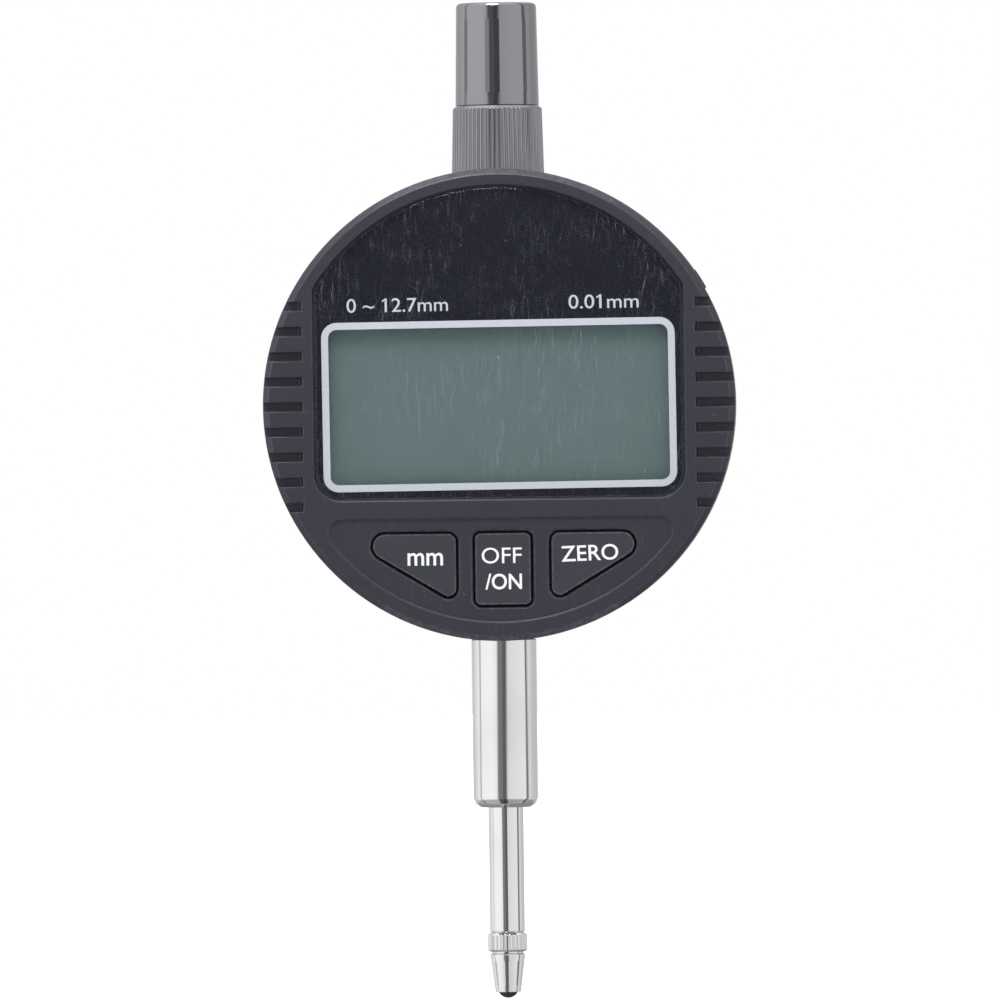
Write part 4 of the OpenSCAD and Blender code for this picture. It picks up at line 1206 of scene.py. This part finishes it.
@dataclass(frozen=True)
class Studio:
    """White surroundings with tall soft lights round the object, a lamp, a pale floor and the camera."""

    distance: float = 2.1
    view_width: float = 123.4 * MM
    azimuth: float = 1.1
    roll: float = 0.72
    aim: tuple[float, float, float] = (-0.27 * MM, 0.0, 27.6 * MM)
    sensor: float = 36.0
    floor_gap: float = 2.6 * MM
    floor_size: float = 6.0
    lamp_power: float = 0.26
    lamp_size: float = 0.1
    lamp_place: tuple[float, float, float] = (-0.03, -0.13, 0.22)
    lamp_aim: tuple[float, float, float] = (0.0, 0.0, 0.045)
    floor_glow: float = 0.7
    bands: tuple[tuple[float, float], ...] = (
        (-180, 0.66), (-150, 0.68), (-130, 0.82), (-112, 1.02), (-103, 1.02), (-98, 0.50), (-95, 0.50),
        (-91, 1.12), (-60, 1.14), (-40, 1.12), (-28, 0.98), (-23, 0.24), (-9, 0.22), (-5, 0.13),
        (4, 0.14), (8, 0.62), (13, 0.88), (50, 0.95), (78, 0.98), (81, 0.22), (86, 0.22), (91, 0.62),
        (97, 0.88), (112, 0.70), (140, 0.62), (180, 0.66),
    )

    def build(self) -> None:
        """Makes the light, the floor and the camera."""
        self.surroundings()
        self.lamp()
        self.floor()
        self.camera()
        bpy.context.scene.view_settings.view_transform = "Standard"

    def surroundings(self) -> None:
        """Makes the world: white where it is seen, and soft lights where it is reflected."""
        world = bpy.data.worlds.new("studio")
        world.use_nodes = True
        tree = world.node_tree
        tree.nodes.clear()
        axes = add_node(tree, "SeparateXYZ", {0: add_node(tree, "TexCoord").outputs["Generated"]}).outputs
        turn = maths(tree, "ARCTAN2", axes[0], maths(tree, "MULTIPLY", axes[1], -1.0))
        round_about = maths(tree, "MULTIPLY_ADD", turn, 1 / (2 * math.pi), 0.5)
        wheel = add_node(tree, "ValToRGB", {0: round_about})
        stops = wheel.color_ramp.elements
        for number, (angle, value) in enumerate(self.bands):
            at = angle / 360 + 0.5
            stop = stops[number] if number < 2 else stops.new(at)
            stop.position = at
            stop.color = (value, value, value, 1)
        overhead = ramp(tree, axes[2], 0.55, 0.80, 0.0, 0.5)
        table = ramp(tree, axes[2], -0.45, -0.2, 0.45, 1.0)
        glow = maths(tree, "ADD", maths(tree, "MULTIPLY", wheel.outputs[0], table), overhead)
        lights = add_node(tree, "Background", {"Color": (0.985, 0.99, 1.0, 1), "Strength": glow})
        white = add_node(tree, "Background", {"Color": (1, 1, 1, 1), "Strength": 1.0})
        seen = add_node(tree, "LightPath").outputs["Is Camera Ray"]
        both = add_node(tree, "MixShader", {0: seen, 1: lights.outputs[0], 2: white.outputs[0]})
        tree.links.new(both.outputs[0], add_node(tree, "OutputWorld").inputs["Surface"])
        bpy.context.scene.world = world

    def lamp(self) -> None:
        """Makes the soft lamp above and in front."""
        light = bpy.data.lights.new("soft_lamp", "AREA")
        light.shape, light.size, light.energy = "DISK", self.lamp_size, self.lamp_power
        holder = new_object("soft_lamp", light)
        holder.location = self.lamp_place
        way = Vector(self.lamp_aim) - holder.location
        holder.rotation_euler = way.to_track_quat("-Z", "Y").to_euler()

    def floor(self) -> None:
        """Makes the pale floor, which isn't seen from below or in a reflection."""
        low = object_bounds()[0].z - self.floor_gap
        sheet = bmesh.new()
        level = Matrix.Translation((0, 0, low))
        bmesh.ops.create_circle(sheet, cap_ends=True, segments=96, radius=self.floor_size / 2, matrix=level)
        mesh = bpy.data.meshes.new("floor")
        sheet.to_mesh(mesh)
        sheet.free()
        new_object("floor", mesh)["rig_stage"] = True
        material = bpy.data.materials.new("pale_floor")
        material.use_nodes = True
        tree = material.node_tree
        tree.nodes.clear()
        matt = add_node(tree, "BsdfDiffuse", {"Color": (0.85, 0.85, 0.86, 1)})
        ray = add_node(tree, "LightPath").outputs
        strength = maths(tree, "MULTIPLY", ray["Is Camera Ray"], self.floor_glow)
        glow = add_node(tree, "Emission", {"Color": (1, 1, 1, 1), "Strength": strength})
        lit = add_node(tree, "AddShader", {0: matt.outputs[0], 1: glow.outputs[0]})
        behind = add_node(tree, "NewGeometry").outputs["Backfacing"]
        clear = add_node(tree, "BsdfTransparent")
        hidden = maths(tree, "MAXIMUM", behind, ray["Is Glossy Ray"])
        ends = add_node(tree, "MixShader", {0: hidden, 1: lit.outputs[0], 2: clear.outputs[0]})
        tree.links.new(ends.outputs[0], add_node(tree, "OutputMaterial").inputs["Surface"])
        mesh.materials.append(material)

    def camera(self) -> None:
        """Makes the camera, nearly straight in front of the display."""
        lens = bpy.data.cameras.new("camera")
        lens.sensor_width = self.sensor
        lens.lens = self.sensor * self.distance / self.view_width
        lens.clip_start, lens.clip_end = 0.1, 20
        view = new_object("camera", lens)
        turn = math.radians(self.azimuth)
        away = Vector((math.sin(turn), -math.cos(turn), 0))
        view.location = Vector(self.aim) + away * self.distance
        facing = (-away).to_track_quat("-Z", "Y").to_matrix()
        view.rotation_euler = (facing @ Matrix.Rotation(math.radians(-self.roll), 3, "Z")).to_euler()
        bpy.context.scene.camera = view


def main() -> None:
    """Builds the indicator's looks and the studio."""
    logging.basicConfig(level=logging.INFO, format="%(message)s")
    assemblies = (
        Housing(), Window(), DISPLAY, Keypad(), STEM, SPINDLE_SET, INSIDE, DRAWER, CELL, DUST_CAP,
    )
    pieces = [piece for assembly in assemblies for piece in assembly.build()]
    for piece in pieces:
        log.info("%s: %d faces", piece.name, len(piece.data.polygons))
    for name, node in frame["nodes"].items():
        if not node.hide_render:
            node.data.materials.clear()
            node.data.materials.append(PALETTE[SLOTS[name]])
            log.info("%s: CAD node", name)
    Studio().build()


if __name__ == "__main__":
    main()
